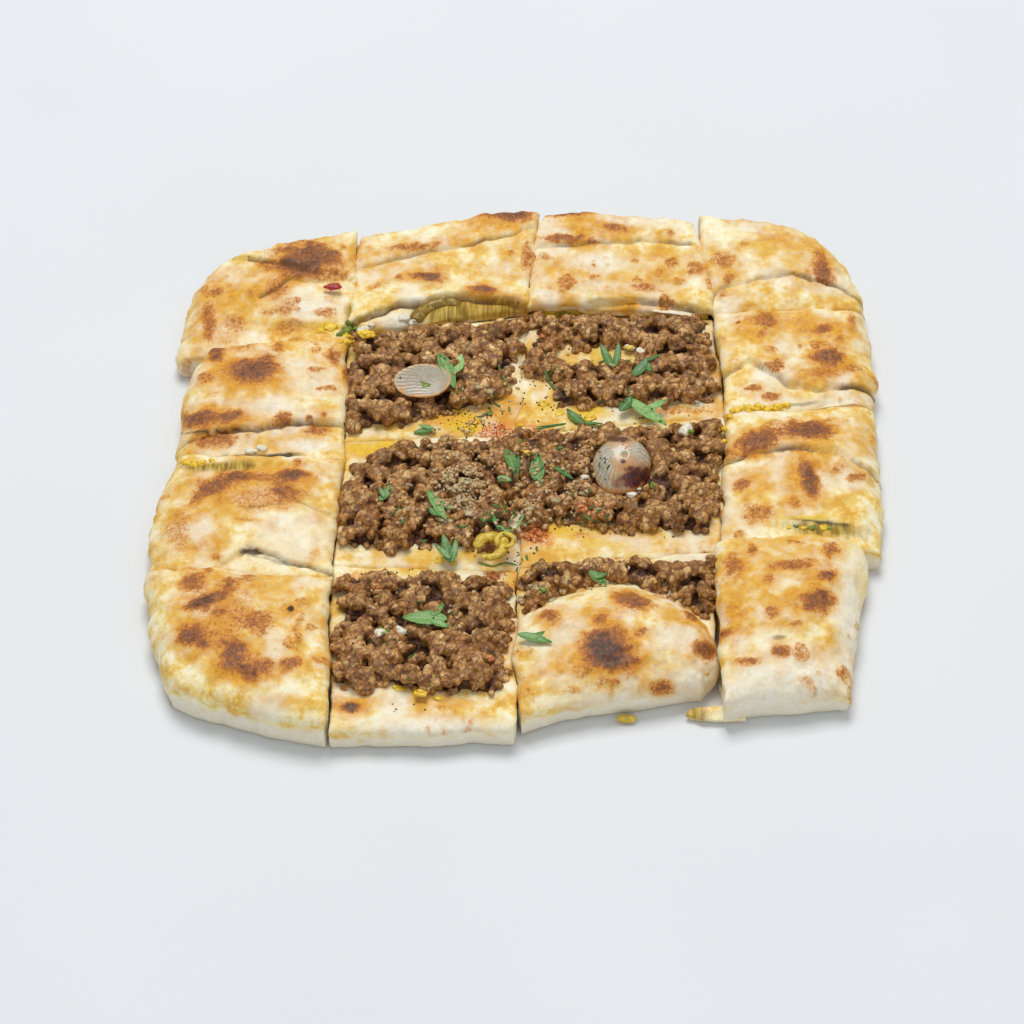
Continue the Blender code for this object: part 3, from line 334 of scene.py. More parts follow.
# A heap's build, in millimetres: a core, lumps of knobs over it and smaller knobs between the lumps.
# The tops of knobs are measured from the core's height.
HEAP_BASE = SLAB_TOP + 0.35
HEAP_SINK = 1.2
CORE_HEIGHT = 6
CORE_DEPTH = 4.6
CORE_EDGE = 3
LUMP_SPACING = 7.6
LUMP_REACH = 3.6
LUMP_RISE = 4.6
LUMP_SIZES = (0.7, 1.15)
LUMP_LIFTS = (-1.4, 0.9)
LUMP_DROP = 2.2
LUMP_KNOBS = (6, 10)
KNOB_RADIUS = (1.7, 2.7)
FILLER_SPACING = 3.2
FILLER_RADIUS = (1.2, 2.1)
FILLER_TOPS = (-3.2, -1.6)
KNOB_SQUASH = (0.65, 1.35)
KNOB_DIVISIONS = 2
MEAT_VOXEL = 0.57
# Grains of meat: their size, how far they stand out and how dark the painted shade in the creases between
# them is.
GRAINS = ((3.4, 0.95, 1), (1.7, 0.5, 0.5))

# Leaves: the node each stands for, and its leaflets as pixels from base to tip, the half width in
# millimetres and how pale the leaflet is.
LEAFLETS = {
    "leaf_01": ((437, 356, 455, 389, 2.7, 0.5), (456, 374, 460, 356, 2.4, 0.95)),
    "leaf_02": ((614, 367, 599, 346, 1.8, 0.15), (615, 367, 617, 345, 1.5, 0.1)),
    "leaf_03": (
        (633, 376, 646, 360, 2.2, 0.05),
        (642, 362, 661, 356, 0.9, 0),
        (646, 362, 650, 374, 1.5, 0.1),
    ),
    "leaf_04": (
        (619, 411, 632, 397, 2.2, 0),
        (631, 398, 664, 428, 2.6, 0.75),
        (640, 413, 668, 404, 1.9, 0.7),
    ),
    "leaf_05": (
        (582, 425, 568, 410, 2, 0.15),
        (574, 421, 602, 427, 0.7, 0.1),
        (566, 423, 536, 430, 0.5, 0),
    ),
    "leaf_06": ((537, 481, 540, 457, 2.8, 0.35), (552, 467, 573, 482, 1.2, 0.1)),
    "leaf_07": (
        (505, 450, 514, 475, 2.1, 0.3),
        (497, 480, 513, 481, 1.5, 0.5),
        (518, 457, 519, 478, 1, 0),
    ),
    "leaf_08": (
        (426, 493, 448, 520, 2, 0.55),
        (432, 500, 457, 509, 1.5, 0.5),
        (430, 508, 440, 519, 1.2, 0.2),
    ),
    "leaf_09": (
        (450, 562, 441, 535, 2, 0.1),
        (450, 562, 456, 541, 1.4, 0.2),
        (449, 560, 436, 547, 1.3, 0.3),
    ),
    "leaf_10": ((379, 500, 390, 487, 1.6, 0.3), (384, 498, 379, 489, 1, 0.2)),
    "leaf_11": (
        (447, 620, 403, 619, 3.4, 0.55),
        (432, 622, 449, 629, 1.5, 0.5),
        (432, 616, 444, 607, 1.6, 0.5),
    ),
    "leaf_12": ((518, 634, 551, 645, 1.9, 0.35), (528, 640, 545, 634, 1.4, 0.4)),
    "leaf_13": ((589, 571, 606, 587, 2, 0.3), (594, 578, 607, 576, 1.3, 0.3)),
    "leaf_14": ((414, 433, 436, 431, 1.4, 0.15), (436, 431, 418, 427, 1.1, 0.5)),
    "leaf_15": (
        (489, 511, 501, 531, 0.8, 0.2),
        (498, 527, 514, 532, 0.9, 0.4),
        (525, 515, 515, 533, 0.6, 0.5),
    ),
}
LEAF_THICKNESS = 0.3
LEAFLET_ALONG = 22
LEAFLET_ACROSS = 8

# Soft strands: the path as pixels, the height that it lies at, or None on the surface, the radius in
# millimetres at each end and how flat it is.
Strand = namedtuple("Strand", "path height radii flat")
CURL = (
    Strand(
        ((476, 548), (482, 539), (494, 536), (504, 540), (504, 550), (494, 557), (481, 557)),
        20.5,
        (2.4, 1.6),
        0.7,
    ),
    Strand(((497, 546), (497, 537), (506, 533), (515, 538), (512, 546), (503, 547)), 22, (1.1, 0.9), 0.8),
)
LINING = (
    Strand(((415, 322), (419, 314), (427, 307), (438, 303), (450, 302), (461, 304)), None, (3.3, 2.2), 0.85),
)
UNDERLAYERS = (
    Strand(((650, 307), (672, 308), (694, 312), (712, 318)), None, (2.4, 2.0), 0.22),
    Strand(((806, 408), (830, 404), (852, 401), (872, 402)), None, (1.4, 1.8), 0.3),
)
STEMS = (
    Strand(((498, 366), (503, 376), (511, 391)), None, (0.5, 0.35), 0.8),
    Strand(((545, 371), (550, 384), (562, 395)), None, (0.55, 0.4), 0.7),
    Strand(((478, 563), (492, 567), (506, 563), (518, 566)), None, (0.4, 0.3), 0.8),
    Strand(((566, 424), (550, 427), (534, 429)), None, (0.35, 0.25), 0.8),
    Strand(((583, 425), (594, 424), (602, 427)), None, (0.4, 0.25), 0.8),
    Strand(((492, 514), (501, 520), (509, 518)), None, (0.45, 0.35), 0.8),
    Strand(((583, 516), (590, 520), (600, 522)), None, (0.5, 0.35), 0.8),
)

STRAND_AROUND = 16

# Onion: the rings and the points around each that a piece is made of, and its thickness.
SLICE_SIZE = (40, 150)
PETAL_SIZE = (36, 96)
ONION_THICKNESS = {"slice": 0.8, "petal": 0.9}

# Scraps that lie on the surface: kind, middle as pixels, half width and height in millimetres.
SCRAPS = {
    "egg": (
        (186, 462, 2.2, 1.8), (194, 465, 2.4, 2.0), (203, 463, 2.0, 1.8), (211, 461, 1.6, 1.4),
        (347, 336, 2.4, 1.8), (332, 327, 3.2, 1.2), (322, 330, 2.2, 1.0), (351, 344, 2.6, 1.8),
        (343, 341, 1.8, 1.6), (736, 411, 2.6, 1.6), (747, 408, 2.4, 1.8), (758, 407, 2.6, 1.6),
        (768, 409, 2.2, 1.8), (777, 407, 2.4, 1.8), (786, 405, 2.0, 1.6), (729, 416, 2.2, 1.6),
        (725, 428, 2.0, 1.4), (724, 441, 1.6, 1.4), (459, 427, 2.6, 1.2), (467, 431, 3.0, 1.4),
        (474, 425, 2.6, 1.2), (465, 421, 2.2, 1.0), (574, 418, 3.0, 0.8), (592, 419, 3.2, 0.8),
        (560, 413, 2.6, 0.7), (545, 405, 2.4, 0.6), (628, 346, 2.6, 0.8), (522, 425, 2.0, 1.0),
        (527, 452, 2.0, 1.0), (440, 560, 3.0, 0.7), (455, 562, 2.2, 0.7), (398, 688, 2.6, 0.8),
        (420, 692, 3.0, 0.8), (437, 698, 2.2, 0.8), (803, 528, 1.8, 0.9), (822, 528, 2.0, 0.9),
        (788, 527, 1.4, 0.8),
    ),
    "white": (
        (404, 319, 3.0, 2.0), (412, 322, 2.0, 1.4), (362, 328, 2.6, 1.2), (371, 326, 2.0, 1.2),
        (403, 632, 2.2, 1.6), (399, 628, 1.4, 1.2), (585, 477, 2.0, 1.2), (252, 451, 2.6, 1.8),
        (262, 449, 2.2, 1.6), (630, 347, 2.6, 1.4), (640, 350, 2.2, 1.2), (699, 404, 2.6, 1.2),
        (640, 489, 2.6, 1.2), (632, 495, 2.2, 1.0), (381, 632, 2.4, 1.2),
    ),
    "orange": (
        (376, 586, 2.0, 1.4), (491, 659, 3.0, 1.6), (533, 530, 2.8, 1.6), (541, 535, 2.2, 1.4),
        (528, 538, 2.0, 1.2), (536, 541, 2.2, 1.0), (545, 336, 2.4, 1.0), (494, 576, 3.0, 0.7),
        (583, 508, 2.6, 1.0), (600, 505, 2.2, 0.9), (503, 433, 2.2, 0.6),
    ),
    "tan": (
        (465, 480, 3.4, 1.0), (455, 488, 3.4, 1.0), (473, 494, 3.4, 1.0), (446, 484, 2.8, 0.9),
        (459, 500, 3.0, 0.9), (470, 473, 2.8, 0.9), (478, 485, 2.8, 0.9), (450, 474, 2.4, 0.9),
        (464, 508, 2.4, 0.9), (441, 520, 2.4, 0.9), (470, 512, 3.0, 0.9), (410, 485, 2.0, 1.0),
        (455, 455, 2.4, 0.9), (555, 500, 2.4, 0.9), (585, 492, 2.2, 0.9), (530, 508, 2.2, 0.9),
        (560, 450, 2.6, 0.9), (490, 392, 2.4, 0.9), (478, 386, 2.2, 0.8), (552, 600, 2.4, 0.9),
        (535, 588, 2.6, 1.0), (520, 600, 2.2, 1.0), (447, 520, 2.2, 0.8), (427, 625, 2.2, 0.8),
    ),
    "green": (
        (425, 384, 2.0, 0.5), (347, 330, 2.4, 1.8), (341, 334, 2.0, 1.6), (352, 337, 1.8, 1.4),
        (355, 329, 1.6, 1.4), (349, 323, 1.6, 1.4), (488, 415, 2.0, 0.8), (483, 421, 1.3, 0.7),
        (653, 485, 1.8, 0.9), (384, 631, 2.4, 1.2), (500, 481, 1.8, 1.0), (477, 481, 1.9, 1.0),
        (543, 590, 2.0, 0.7), (690, 432, 1.6, 1.2), (812, 528, 1.6, 1.0), (796, 526, 1.4, 0.9),
        (830, 528, 1.4, 0.9), (514, 514, 1.6, 0.9), (520, 440, 1.4, 0.6),
    ),
}

# Fine things sprinkled over parts of the picture: middle, half width, half height and how many.
SPRINKLES = {
    "pepper": (
        (542, 392, 24, 34, 46), (585, 340, 40, 14, 22), (480, 425, 34, 16, 40), (440, 480, 70, 36, 60),
        (455, 493, 14, 8, 22), (560, 455, 50, 28, 46), (560, 500, 60, 34, 60), (500, 540, 40, 26, 40),
        (620, 530, 80, 10, 26), (410, 640, 60, 50, 36), (415, 575, 60, 6, 10), (560, 580, 50, 14, 18),
        (400, 708, 50, 6, 5), (610, 415, 60, 14, 16), (420, 370, 60, 40, 20),
    ),
    "seed": (
        (460, 488, 26, 22, 130), (556, 470, 46, 34, 60), (545, 505, 36, 24, 44), (470, 440, 46, 20, 30),
        (505, 500, 36, 40, 32), (430, 520, 50, 24, 16), (420, 610, 60, 40, 22), (485, 385, 34, 30, 26),
        (590, 375, 40, 26, 18), (560, 580, 40, 14, 12), (460, 465, 30, 12, 14),
    ),
    "shred": (
        (505, 520, 26, 16, 26), (475, 410, 36, 22, 12), (560, 470, 50, 34, 16), (430, 520, 46, 26, 12),
        (590, 515, 26, 12, 12), (420, 640, 50, 40, 8), (600, 380, 60, 30, 8), (530, 560, 30, 14, 8),
    ),
    "spice": (
        (496, 432, 18, 8, 90), (535, 534, 16, 10, 60), (590, 508, 26, 10, 60), (548, 338, 12, 12, 34),
        (470, 424, 30, 10, 40), (494, 576, 14, 5, 30), (560, 440, 26, 12, 24), (640, 440, 20, 14, 20),
        (470, 545, 40, 10, 24), (690, 410, 24, 6, 14),
    ),
}
# How each kind is made: its least and greatest half length, its proportions and how often the faces
# of the ball that it starts from are divided.
SPRINKLE_SHAPES = {
    "pepper": (0.3, 0.55, (1, 0.8, 0.7), 1),
    "seed": (0.65, 1.15, (1, 0.7, 0.55), 2),
    "shred": (0.9, 1.9, (1, 0.3, 0.16), 2),
    "spice": (0.22, 0.4, (1, 0.8, 0.7), 1),
}


# ---------------------------------------------------------------- noise
HASH_FACTORS = (73856093, 19349663, 83492791)
HASH_SHIFTS = (13, 16, 15)
HASH_MIXER = 1274126177


def lattice_draw(cells, seed):
    """A repeatable draw from 0 to 1 for each lattice cell (N by 3 whole numbers)."""
    parts = (cells & 0xFFFFFFFF).astype(np.uint32)
    mixed = np.uint32(seed * 7919 + 17)
    for axis, factor in enumerate(HASH_FACTORS):
        mixed = mixed ^ parts[:, axis] * np.uint32(factor)
    for shift in HASH_SHIFTS:
        mixed = (mixed ^ (mixed >> np.uint32(shift))) * np.uint32(HASH_MIXER)
    return (mixed >> np.uint32(8)).astype(float) / 0xFFFFFF


def as_space(points):
    """Plan points with a height of nought, and points in space as they are."""
    if points.shape[1] == 3:
        return points
    return np.concatenate([points, np.zeros((len(points), 1))], 1)


def smooth_noise(points, size, seed=0):
    """Smooth noise from -1 to 1 whose lumps have the given size."""
    spread = as_space(points) / size
    cells = np.floor(spread).astype(np.int64)
    part = spread - cells
    part = part * part * (3 - 2 * part)
    total = np.zeros(len(points))
    for corner in itertools.product((0, 1), repeat=3):
        weight = np.prod(np.where(np.array(corner) > 0, part, 1 - part), axis=1)
        total += weight * lattice_draw(cells + np.array(corner), seed)
    return total * 2 - 1


TURN = np.array(((0.8, 0.6, 0), (-0.6 * 0.8, 0.8 * 0.8, 0.6), (0.36, -0.48, 0.8)))


def rough_noise(points, size, seed=0, octaves=4):
    """Noise with lumps of the given size and finer ones on them."""
    spread = as_space(points)
    total = np.zeros(len(points))
    share = 1.0
    for octave in range(octaves):
        total += share * smooth_noise(spread, size, seed + octave)
        spread = spread @ TURN.T
        size /= 2.03
        share /= 2
    return total / 1.6


def grains(points, size, seed):
    """Packed grains: how far each point stands out, how near a crease it is, and its grain's draw."""
    stray = np.stack([smooth_noise(points, 0.8 * size, seed + axis) for axis in range(3)], 1)
    spread = points / size + 0.35 * stray
    cells = np.floor(spread).astype(np.int64)
    nearest, second = np.full(len(points), 9.0), np.full(len(points), 9.0)
    tint = np.zeros(len(points))
    for step in itertools.product((-1, 0, 1), repeat=3):
        near = cells + np.array(step)
        middle = near + np.stack([lattice_draw(near, seed + axis) for axis in range(3)], 1)
        away = np.linalg.norm(spread - middle, axis=1)
        second = np.minimum(second, np.maximum(away, nearest))
        tint = np.where(away < nearest, lattice_draw(near, seed + 5), tint)
        nearest = np.minimum(nearest, away)
    return np.sqrt(np.clip(1 - (nearest / 0.95) ** 2, 0, 1)), 1 - ease(second - nearest, 0, 0.3), tint


def blisters(points, size, seed, fullness=0.5):
    """Round bumps from 0 to 1 scattered over the plan, in a share of its cells."""
    spread = as_space(points) / size
    cells = np.floor(spread).astype(np.int64)
    highest = np.zeros(len(points))
    cells[:, 2] = 0
    for step in itertools.product((-1, 0, 1), repeat=2):
        near = cells + (*step, 0)
        middle_x = near[:, 0] + lattice_draw(near, seed)
        middle_y = near[:, 1] + lattice_draw(near, seed + 1)
        reach = 0.25 + 0.4 * lattice_draw(near, seed + 2)
        away = np.hypot(spread[:, 0] - middle_x, spread[:, 1] - middle_y) / reach
        bump = np.where(lattice_draw(near, seed + 3) < fullness, np.clip(1 - away * away, 0, 1), 0)
        highest = np.maximum(highest, bump)
    return highest


def ease(value, low, high):
    """0 below low, 1 above high and a smooth step between."""
    share = np.clip((value - low) / (high - low), 0, 1)
    return share * share * (3 - 2 * share)


# ---------------------------------------------------------------- meshes and materials
def make_mesh(name, points, faces, material):
    """An object whose mesh has these plan points, in millimetres, and faces."""
    placed = np.array(points, float)
    placed[:, :2] -= PLAN_MIDDLE
    placed[:, 2] = np.maximum(placed[:, 2], 0)
    mesh = bpy.data.meshes.new(name)
    mesh.from_pydata((placed * MM).tolist(), [], [list(face) for face in faces])
    mesh.materials.append(material)
    mesh.shade_smooth()
    thing = bpy.data.objects.new(name, mesh)
    bpy.context.scene.collection.objects.link(thing)
    return thing


def plan_points(thing):
    """A thing's points in plan millimetres."""
    points = np.empty(len(thing.data.vertices) * 3)
    thing.data.vertices.foreach_get("co", points)
    points = points.reshape(-1, 3) / MM
    points[:, :2] += PLAN_MIDDLE
    return points


def set_plan_points(thing, points):
    """Moves a thing's points to these, in plan millimetres."""
    placed = points.copy()
    placed[:, :2] -= PLAN_MIDDLE
    thing.data.vertices.foreach_set("co", (placed * MM).ravel())
    thing.data.update()


def normals_of(thing):
    """The normal at each point of a thing."""
    normals = np.empty(len(thing.data.vertices) * 3)
    thing.data.vertices.foreach_get("normal", normals)
    return normals.reshape(-1, 3)


def write_fields(thing, **fields):
    """Keeps one number for each point and field, which materials read by the field's name."""
    for name, values in fields.items():
        attribute = thing.data.attributes.new(name, "FLOAT", "POINT")
        attribute.data.foreach_set("value", np.asarray(values, np.float32))


def plan_box(node):
    """The middle of a node's box and half its size in plan millimetres, and its underside's height."""
    low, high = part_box(node)
    middle = np.array((low + high) / 2) / MM
    middle[:2] += PLAN_MIDDLE
    return middle, np.array(high - low) / MM / 2, low.z / MM


def bridged(first, second):
    """The faces between two closed rings of points."""
    corners = first, second, np.roll(second, -1), np.roll(first, -1)
    return [tuple(face) for face in np.stack(corners, 1)]


def faces_of_rings(count, around):
    """The faces between rings of points that follow one another."""
    ring = np.arange(around)
    faces = []
    for start in range(0, (count - 1) * around, around):
        faces += bridged(start + ring, start + around + ring)
    return faces


def joined(parts):
    """The points and faces of many loose shapes as those of one."""
    points, faces = [], []
    start = 0
    for some_points, some_faces in parts:
        points.append(some_points)
        faces += [tuple(start + index for index in face) for face in some_faces]
        start += len(some_points)
    return np.concatenate(points), faces


def show(piece, slot, *nodes):
    """Hands a piece to the frame: it rides on the body and stands for its nodes. The slot is not used."""
    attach(piece, "root")
    if nodes:
        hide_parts(*nodes)
    return piece


def feed(tree, socket, value):
    """Links a node's input to a socket, or sets it to a value."""
    if isinstance(value, bpy.types.NodeSocket):
        tree.links.new(value, socket)
    else:
        socket.default_value = value


def add_node(tree, kind, inputs=None, **settings):
    """A shader node with its settings, and its inputs linked or set."""
    made = tree.nodes.new("ShaderNode" + kind)
    for key, value in settings.items():
        setattr(made, key, value)
    for key, value in (inputs or {}).items():
        feed(tree, made.inputs[key], value)
    return made


def start_material(name, **surface):
    """A new material, its tree and its shader, with whole-surface values on the shader's sockets."""
    material = bpy.data.materials.new(name)
    material.use_nodes = True
    tree = material.node_tree
    shader = tree.nodes["Principled BSDF"]
    for key, value in surface.items():
        shader.inputs[key.replace("_", " ")].default_value = value
    return material, tree, shader


def place_of(tree):
    """The place on the piece, in its own metres."""
    return add_node(tree, "TexCoord").outputs["Object"]


def noise_of(tree, size, detail=4, roughness=0.55, place=None):
    """Noise from 0 to 1 whose lumps are size millimetres across."""
    inputs = {"Scale": 1 / (size * MM), "Detail": detail, "Roughness": roughness}
    return add_node(tree, "TexNoise", {"Vector": place or place_of(tree), **inputs}).outputs["Fac"]


def value_of(tree, name):
    """The value of a field that write_fields keeps on the mesh."""
    return add_node(tree, "Attribute", attribute_name=name).outputs["Fac"]


def math_of(tree, operation, *values):
    """The result of one sum on sockets or numbers."""
    return add_node(tree, "Math", dict(enumerate(values)), operation=operation).outputs[0]


def spread_of(tree, value, low, high, to_low=0.0, to_high=1.0):
    """A value's range from low to high, spread over another and held inside it."""
    inputs = {"Value": value, "From Min": low, "From Max": high, "To Min": to_low, "To Max": to_high}
    return add_node(tree, "MapRange", inputs, clamp=True).outputs["Result"]


def linear(red, green, blue):
    """A colour given as the 0 to 255 numbers of a picture, in linear light."""
    parts = [part / 255 for part in (red, green, blue)]
    return [part / 12.92 if part < 0.04045 else ((part + 0.055) / 1.055) ** 2.4 for part in parts] + [1]


def ramp_of(tree, value, stops):
    """Colour stops (share, red, green, blue), with the colours as 0 to 255 numbers."""
    made = add_node(tree, "ValToRGB", {"Fac": value})
    marks = made.color_ramp.elements
    while len(marks) < len(stops):
        marks.new(0.5)
    for mark, (share, *colour) in zip(marks, stops):
        mark.position = share
        mark.color = linear(*colour)
    return made.outputs["Color"]


def mix_of(tree, share, first, second):
    """The mix of two colours, whose sockets on the node come after those for numbers and vectors."""
    return add_node(tree, "Mix", {0: share, 6: first, 7: second}, data_type="RGBA").outputs[2]


def tinted(tree, base, colour, field, low=0.0, high=1.0, most=1.0):
    """The base with a colour over it, up to a share of most, as a named or made field rises."""
    field = value_of(tree, field) if isinstance(field, str) else field
    return mix_of(tree, spread_of(tree, field, low, high, 0, most), base, colour)


def add_bump(tree, shader, height, distance, strength=1.0):
    """A bump whose full height is distance millimetres."""
    made = add_node(tree, "Bump", {"Height": height, "Distance": distance * MM, "Strength": strength})
    if shader.inputs["Normal"].is_linked:
        tree.links.new(shader.inputs["Normal"].links[0].from_socket, made.inputs["Normal"])
    tree.links.new(made.outputs["Normal"], shader.inputs["Normal"])


def dough_material():
    """Baked thin dough: floury cream, golden where it caught heat, brown and charred in spots, with painted
    shade in gaps, slits and along the edges of layers.
    """
    material, tree, shader = start_material(
        "baked_dough", Roughness=0.6, Subsurface_Weight=0.1, Subsurface_Scale=0.002, Specular_IOR_Level=0.35
    )
    shader.inputs["Subsurface Radius"].default_value = (1, 0.6, 0.3)
    grain = noise_of(tree, 0.75, 3, 0.7)
    fine = noise_of(tree, 1.9, 5, 0.65)
    coarse = noise_of(tree, 7, 4, 0.6)
    wide = noise_of(tree, 19, 3, 0.55)
    uneven = math_of(tree, "MULTIPLY_ADD", coarse, 0.4, math_of(tree, "MULTIPLY", fine, 0.25))
    uneven = math_of(tree, "MULTIPLY_ADD", wide, 0.35, uneven)
    creams = ((0.4, 255, 248, 220), (0.47, 251, 235, 184), (0.53, 243, 208, 116), (0.6, 226, 173, 64))
    cream = ramp_of(tree, uneven, creams)
    gold = math_of(tree, "ADD", value_of(tree, "gold"), math_of(tree, "MULTIPLY_ADD", coarse, 0.9, -0.45))
    golden = ramp_of(tree, fine, ((0.3, 190, 114, 12), (0.5, 220, 151, 32), (0.7, 244, 192, 72)))
    base = tinted(tree, cream, golden, gold, 0.15, 0.95, 0.92)
    white = ramp_of(tree, fine, ((0.3, 232, 222, 194), (0.5, 247, 241, 222), (0.7, 255, 253, 246)))
    base = tinted(tree, base, white, "pale", 0.05, 0.9, 0.85)
    toast = value_of(tree, "toast")
    ragged = math_of(tree, "MULTIPLY_ADD", fine, 0.8, -0.4)
    stipple = math_of(tree, "MULTIPLY_ADD", noise_of(tree, 1.1, 2, 0.6), 0.7, -0.35)
    uneven_toast = math_of(tree, "ADD", toast, math_of(tree, "ADD", ragged, stipple))
    masked = math_of(tree, "MULTIPLY", uneven_toast, spread_of(tree, toast, 0.02, 0.25))
    light_brown = ((0, 238, 188, 80), (0.22, 222, 156, 48), (0.42, 198, 124, 40))
    dark_brown = ((0.62, 158, 96, 48), (0.8, 118, 74, 46), (1, 76, 52, 38))
    base = tinted(tree, base, ramp_of(tree, masked, light_brown + dark_brown), masked, 0, 0.46)
    egg = ramp_of(tree, fine, ((0.3, 226, 176, 20), (0.7, 246, 212, 70)))
    base = tinted(tree, base, egg, "egg", 0.15, 0.8, 0.9)
    spice = ramp_of(tree, fine, ((0.35, 206, 84, 22), (0.7, 232, 140, 56)))
    spice_share = math_of(tree, "MULTIPLY", value_of(tree, "spice"), spread_of(tree, fine, 0.3, 0.6))
    base = tinted(tree, base, spice, spice_share, 0.1, 0.9)
    base = tinted(tree, base, linear(236, 226, 200), "wall", 0, 1, 0.45)
    ribs = add_node(tree, "Mapping", {"Vector": place_of(tree), "Scale": (1, 0.12, 0.12)}).outputs["Vector"]
    ribbed = noise_of(tree, 1.4, 2, 0.5, ribs)
    olive = ramp_of(tree, ribbed, ((0.35, 112, 86, 14), (0.5, 160, 132, 38), (0.65, 206, 176, 82)))
    base = tinted(tree, base, olive, "olive", 0.1, 0.8, 0.92)
    # Painted shade: a dark line along the edges of dough layers that lie over the layer below.
    base = tinted(tree, base, linear(96, 62, 30), "seam", 0.1, 0.9, 0.85)
    # Painted shade from the dark spots: the gaps, slits and openings between pieces and the lines under layer
    # edges.
    base = tinted(tree, base, linear(58, 38, 16), "dark", 0.15, 0.8, 0.9)
    tree.links.new(base, shader.inputs["Base Color"])
    tree.links.new(spread_of(tree, masked, 0.1, 0.9, 0.62, 0.42), shader.inputs["Roughness"])
    add_bump(tree, shader, grain, 0.2, 0.7)
    add_bump(tree, shader, fine, 0.55, 0.7)
    return material


def meat_material():
    """Fried minced meat: each grain its own brown, with painted shade in the creases and low in the heap, and
    a greasy gloss.
    """
    material, tree, shader = start_material("minced_meat", Roughness=0.4, Specular_IOR_Level=0.48)
    fine = noise_of(tree, 0.8, 4, 0.65)
    coarse = noise_of(tree, 4.5, 3, 0.5)
    mixed = math_of(tree, "MULTIPLY_ADD", fine, 0.6, math_of(tree, "MULTIPLY", coarse, 0.4))
    mixed = math_of(tree, "ADD", mixed, math_of(tree, "MULTIPLY", value_of(tree, "tint"), 0.13))
    browns = ((0.35, 134, 86, 32), (0.45, 174, 120, 56), (0.54, 216, 162, 92), (0.64, 255, 218, 156))
    base = ramp_of(tree, mixed, browns)
    base = tinted(tree, base, linear(188, 122, 54), noise_of(tree, 13, 2, 0.5), 0.55, 0.72, 0.4)
    # Painted shade: darker in the creases between grains and lower down in the heap, where shade would fall.
    base = tinted(tree, base, linear(84, 34, 4), "crease", 0.1, 1, 0.8)
    base = tinted(tree, base, linear(58, 16, 0), "deep", 0, 1, 0.92)
    tree.links.new(base, shader.inputs["Base Color"])
    tree.links.new(spread_of(tree, coarse, 0.35, 0.65, 0.26, 0.5), shader.inputs["Roughness"])
    add_bump(tree, shader, fine, 0.4, 0.9)
    return material


def filling_material():
    """Egg and greens at the cuts of the folded pieces."""
    material, tree, shader = start_material("egg_filling", Roughness=0.4)
    greens = ((0.3, 96, 110, 30), (0.42, 168, 150, 40))
    yellows = ((0.5, 232, 190, 36), (0.62, 240, 208, 80), (0.75, 214, 176, 110))
    base = ramp_of(tree, noise_of(tree, 5, 3, 0.5), greens + yellows)
    tree.links.new(base, shader.inputs["Base Color"])
    add_bump(tree, shader, noise_of(tree, 1.2, 4, 0.6), 0.4)
    return material


# ---------------------------------------------------------------- the plan's functions
def corner_mix(values, u, v):
    """Blends four corner values, from the front left anticlockwise, at -1 to 1 each way."""
    left, right = (1 - u) / 2, (1 + u) / 2
    front, back = (1 - v) / 2, (1 + v) / 2
    in_front = values[0] * left * front + values[1] * right * front
    return in_front + values[2] * right * back + values[3] * left * back


def corners_of(name):
    """The four corners of a piece in plan, from the front left anticlockwise."""
    if name in OUTLINES:
        return np.array(OUTLINES[name], float)
    line = 4 - int(name[1])
    column = int(name[3]) - 1
    places = ((0, line), (1, line), (1, line + 1), (0, line + 1))
    corners = [(LINES_X[column + side][row], LINES_Y[column][row][side]) for side, row in places]
    return np.array(corners, float)


def span_of(corners):
    """The width and the depth of a four-sided outline, halfway through it."""
    width = np.linalg.norm((corners[1] + corners[2]) - (corners[0] + corners[3])) / 2
    depth = np.linalg.norm((corners[2] + corners[3]) - (corners[0] + corners[1])) / 2
    return width, depth


def place_in_plan(name, u, v):
    """The points of a piece's rounded, bowed outline that points of the square from -1 to 1 go to."""
    piece, corners = PIECES[name], corners_of(name)
    softness = corner_mix(piece.corners, np.clip(u, -1, 1), np.clip(v, -1, 1))
    s = u * np.sqrt(1 - softness * v * v / 2)
    t = v * np.sqrt(1 - softness * u * u / 2)
    point = np.stack([corner_mix(corners[:, 0], s, t), corner_mix(corners[:, 1], s, t)], 1)
    nearness = ((1 - t) / 2, (1 + s) / 2, (1 + t) / 2, (1 - s) / 2)
    for side in range(4):
        edge = corners[(side + 1) % 4] - corners[side]
        outward = np.array((edge[1], -edge[0])) / np.linalg.norm(edge)
        spread = np.maximum(0, 1 - (s * s if side in (0, 2) else t * t))
        point = point + outward * (piece.bows[side] * nearness[side] * spread)[:, None]
    return point


def inset_square(corners, across, along, insets):
    """Pulls points of the square in from its front, right, back and left by four insets."""
    width, depth = span_of(corners)
    low_u, high_u = -1 + 2 * insets[3] / width, 1 - 2 * insets[1] / width
    low_v, high_v = -1 + 2 * insets[0] / depth, 1 - 2 * insets[2] / depth
    return low_u + (high_u - low_u) * (across + 1) / 2, low_v + (high_v - low_v) * (along + 1) / 2


def edge_distances(name, u, v):
    """How far points of the square lie from the front, right, back and left side, in millimetres."""
    width, depth = span_of(corners_of(name))
    return np.stack([depth * (1 + v), width * (1 - u), depth * (1 - v), width * (1 + u)]) / 2


def left_at_edge(side, distance):
    """The share of the height that a side leaves at a distance inside its widest line."""
    rise = np.clip(1 - distance / side.round_over, 0, 1)
    return side.rim + (1 - side.rim) * np.sqrt(1 - rise * rise)


def past_line(path, points):
    """How far plan points lie behind a line of points that runs from left to right."""
    nearest = np.full(len(points), np.inf)
    signed = np.zeros(len(points))
    for start, end in zip(path[:-1], path[1:]):
        way = end - start
        along = np.clip(((points - start) @ way) / (way @ way), 0, 1)
        off = points - start - along[:, None] * way
        away = np.linalg.norm(off, axis=1)
        behind = way[0] * off[:, 1] - way[1] * off[:, 0]
        closer = away < nearest
        nearest = np.where(closer, away, nearest)
        signed = np.where(closer, np.sign(behind) * away, signed)
    return signed


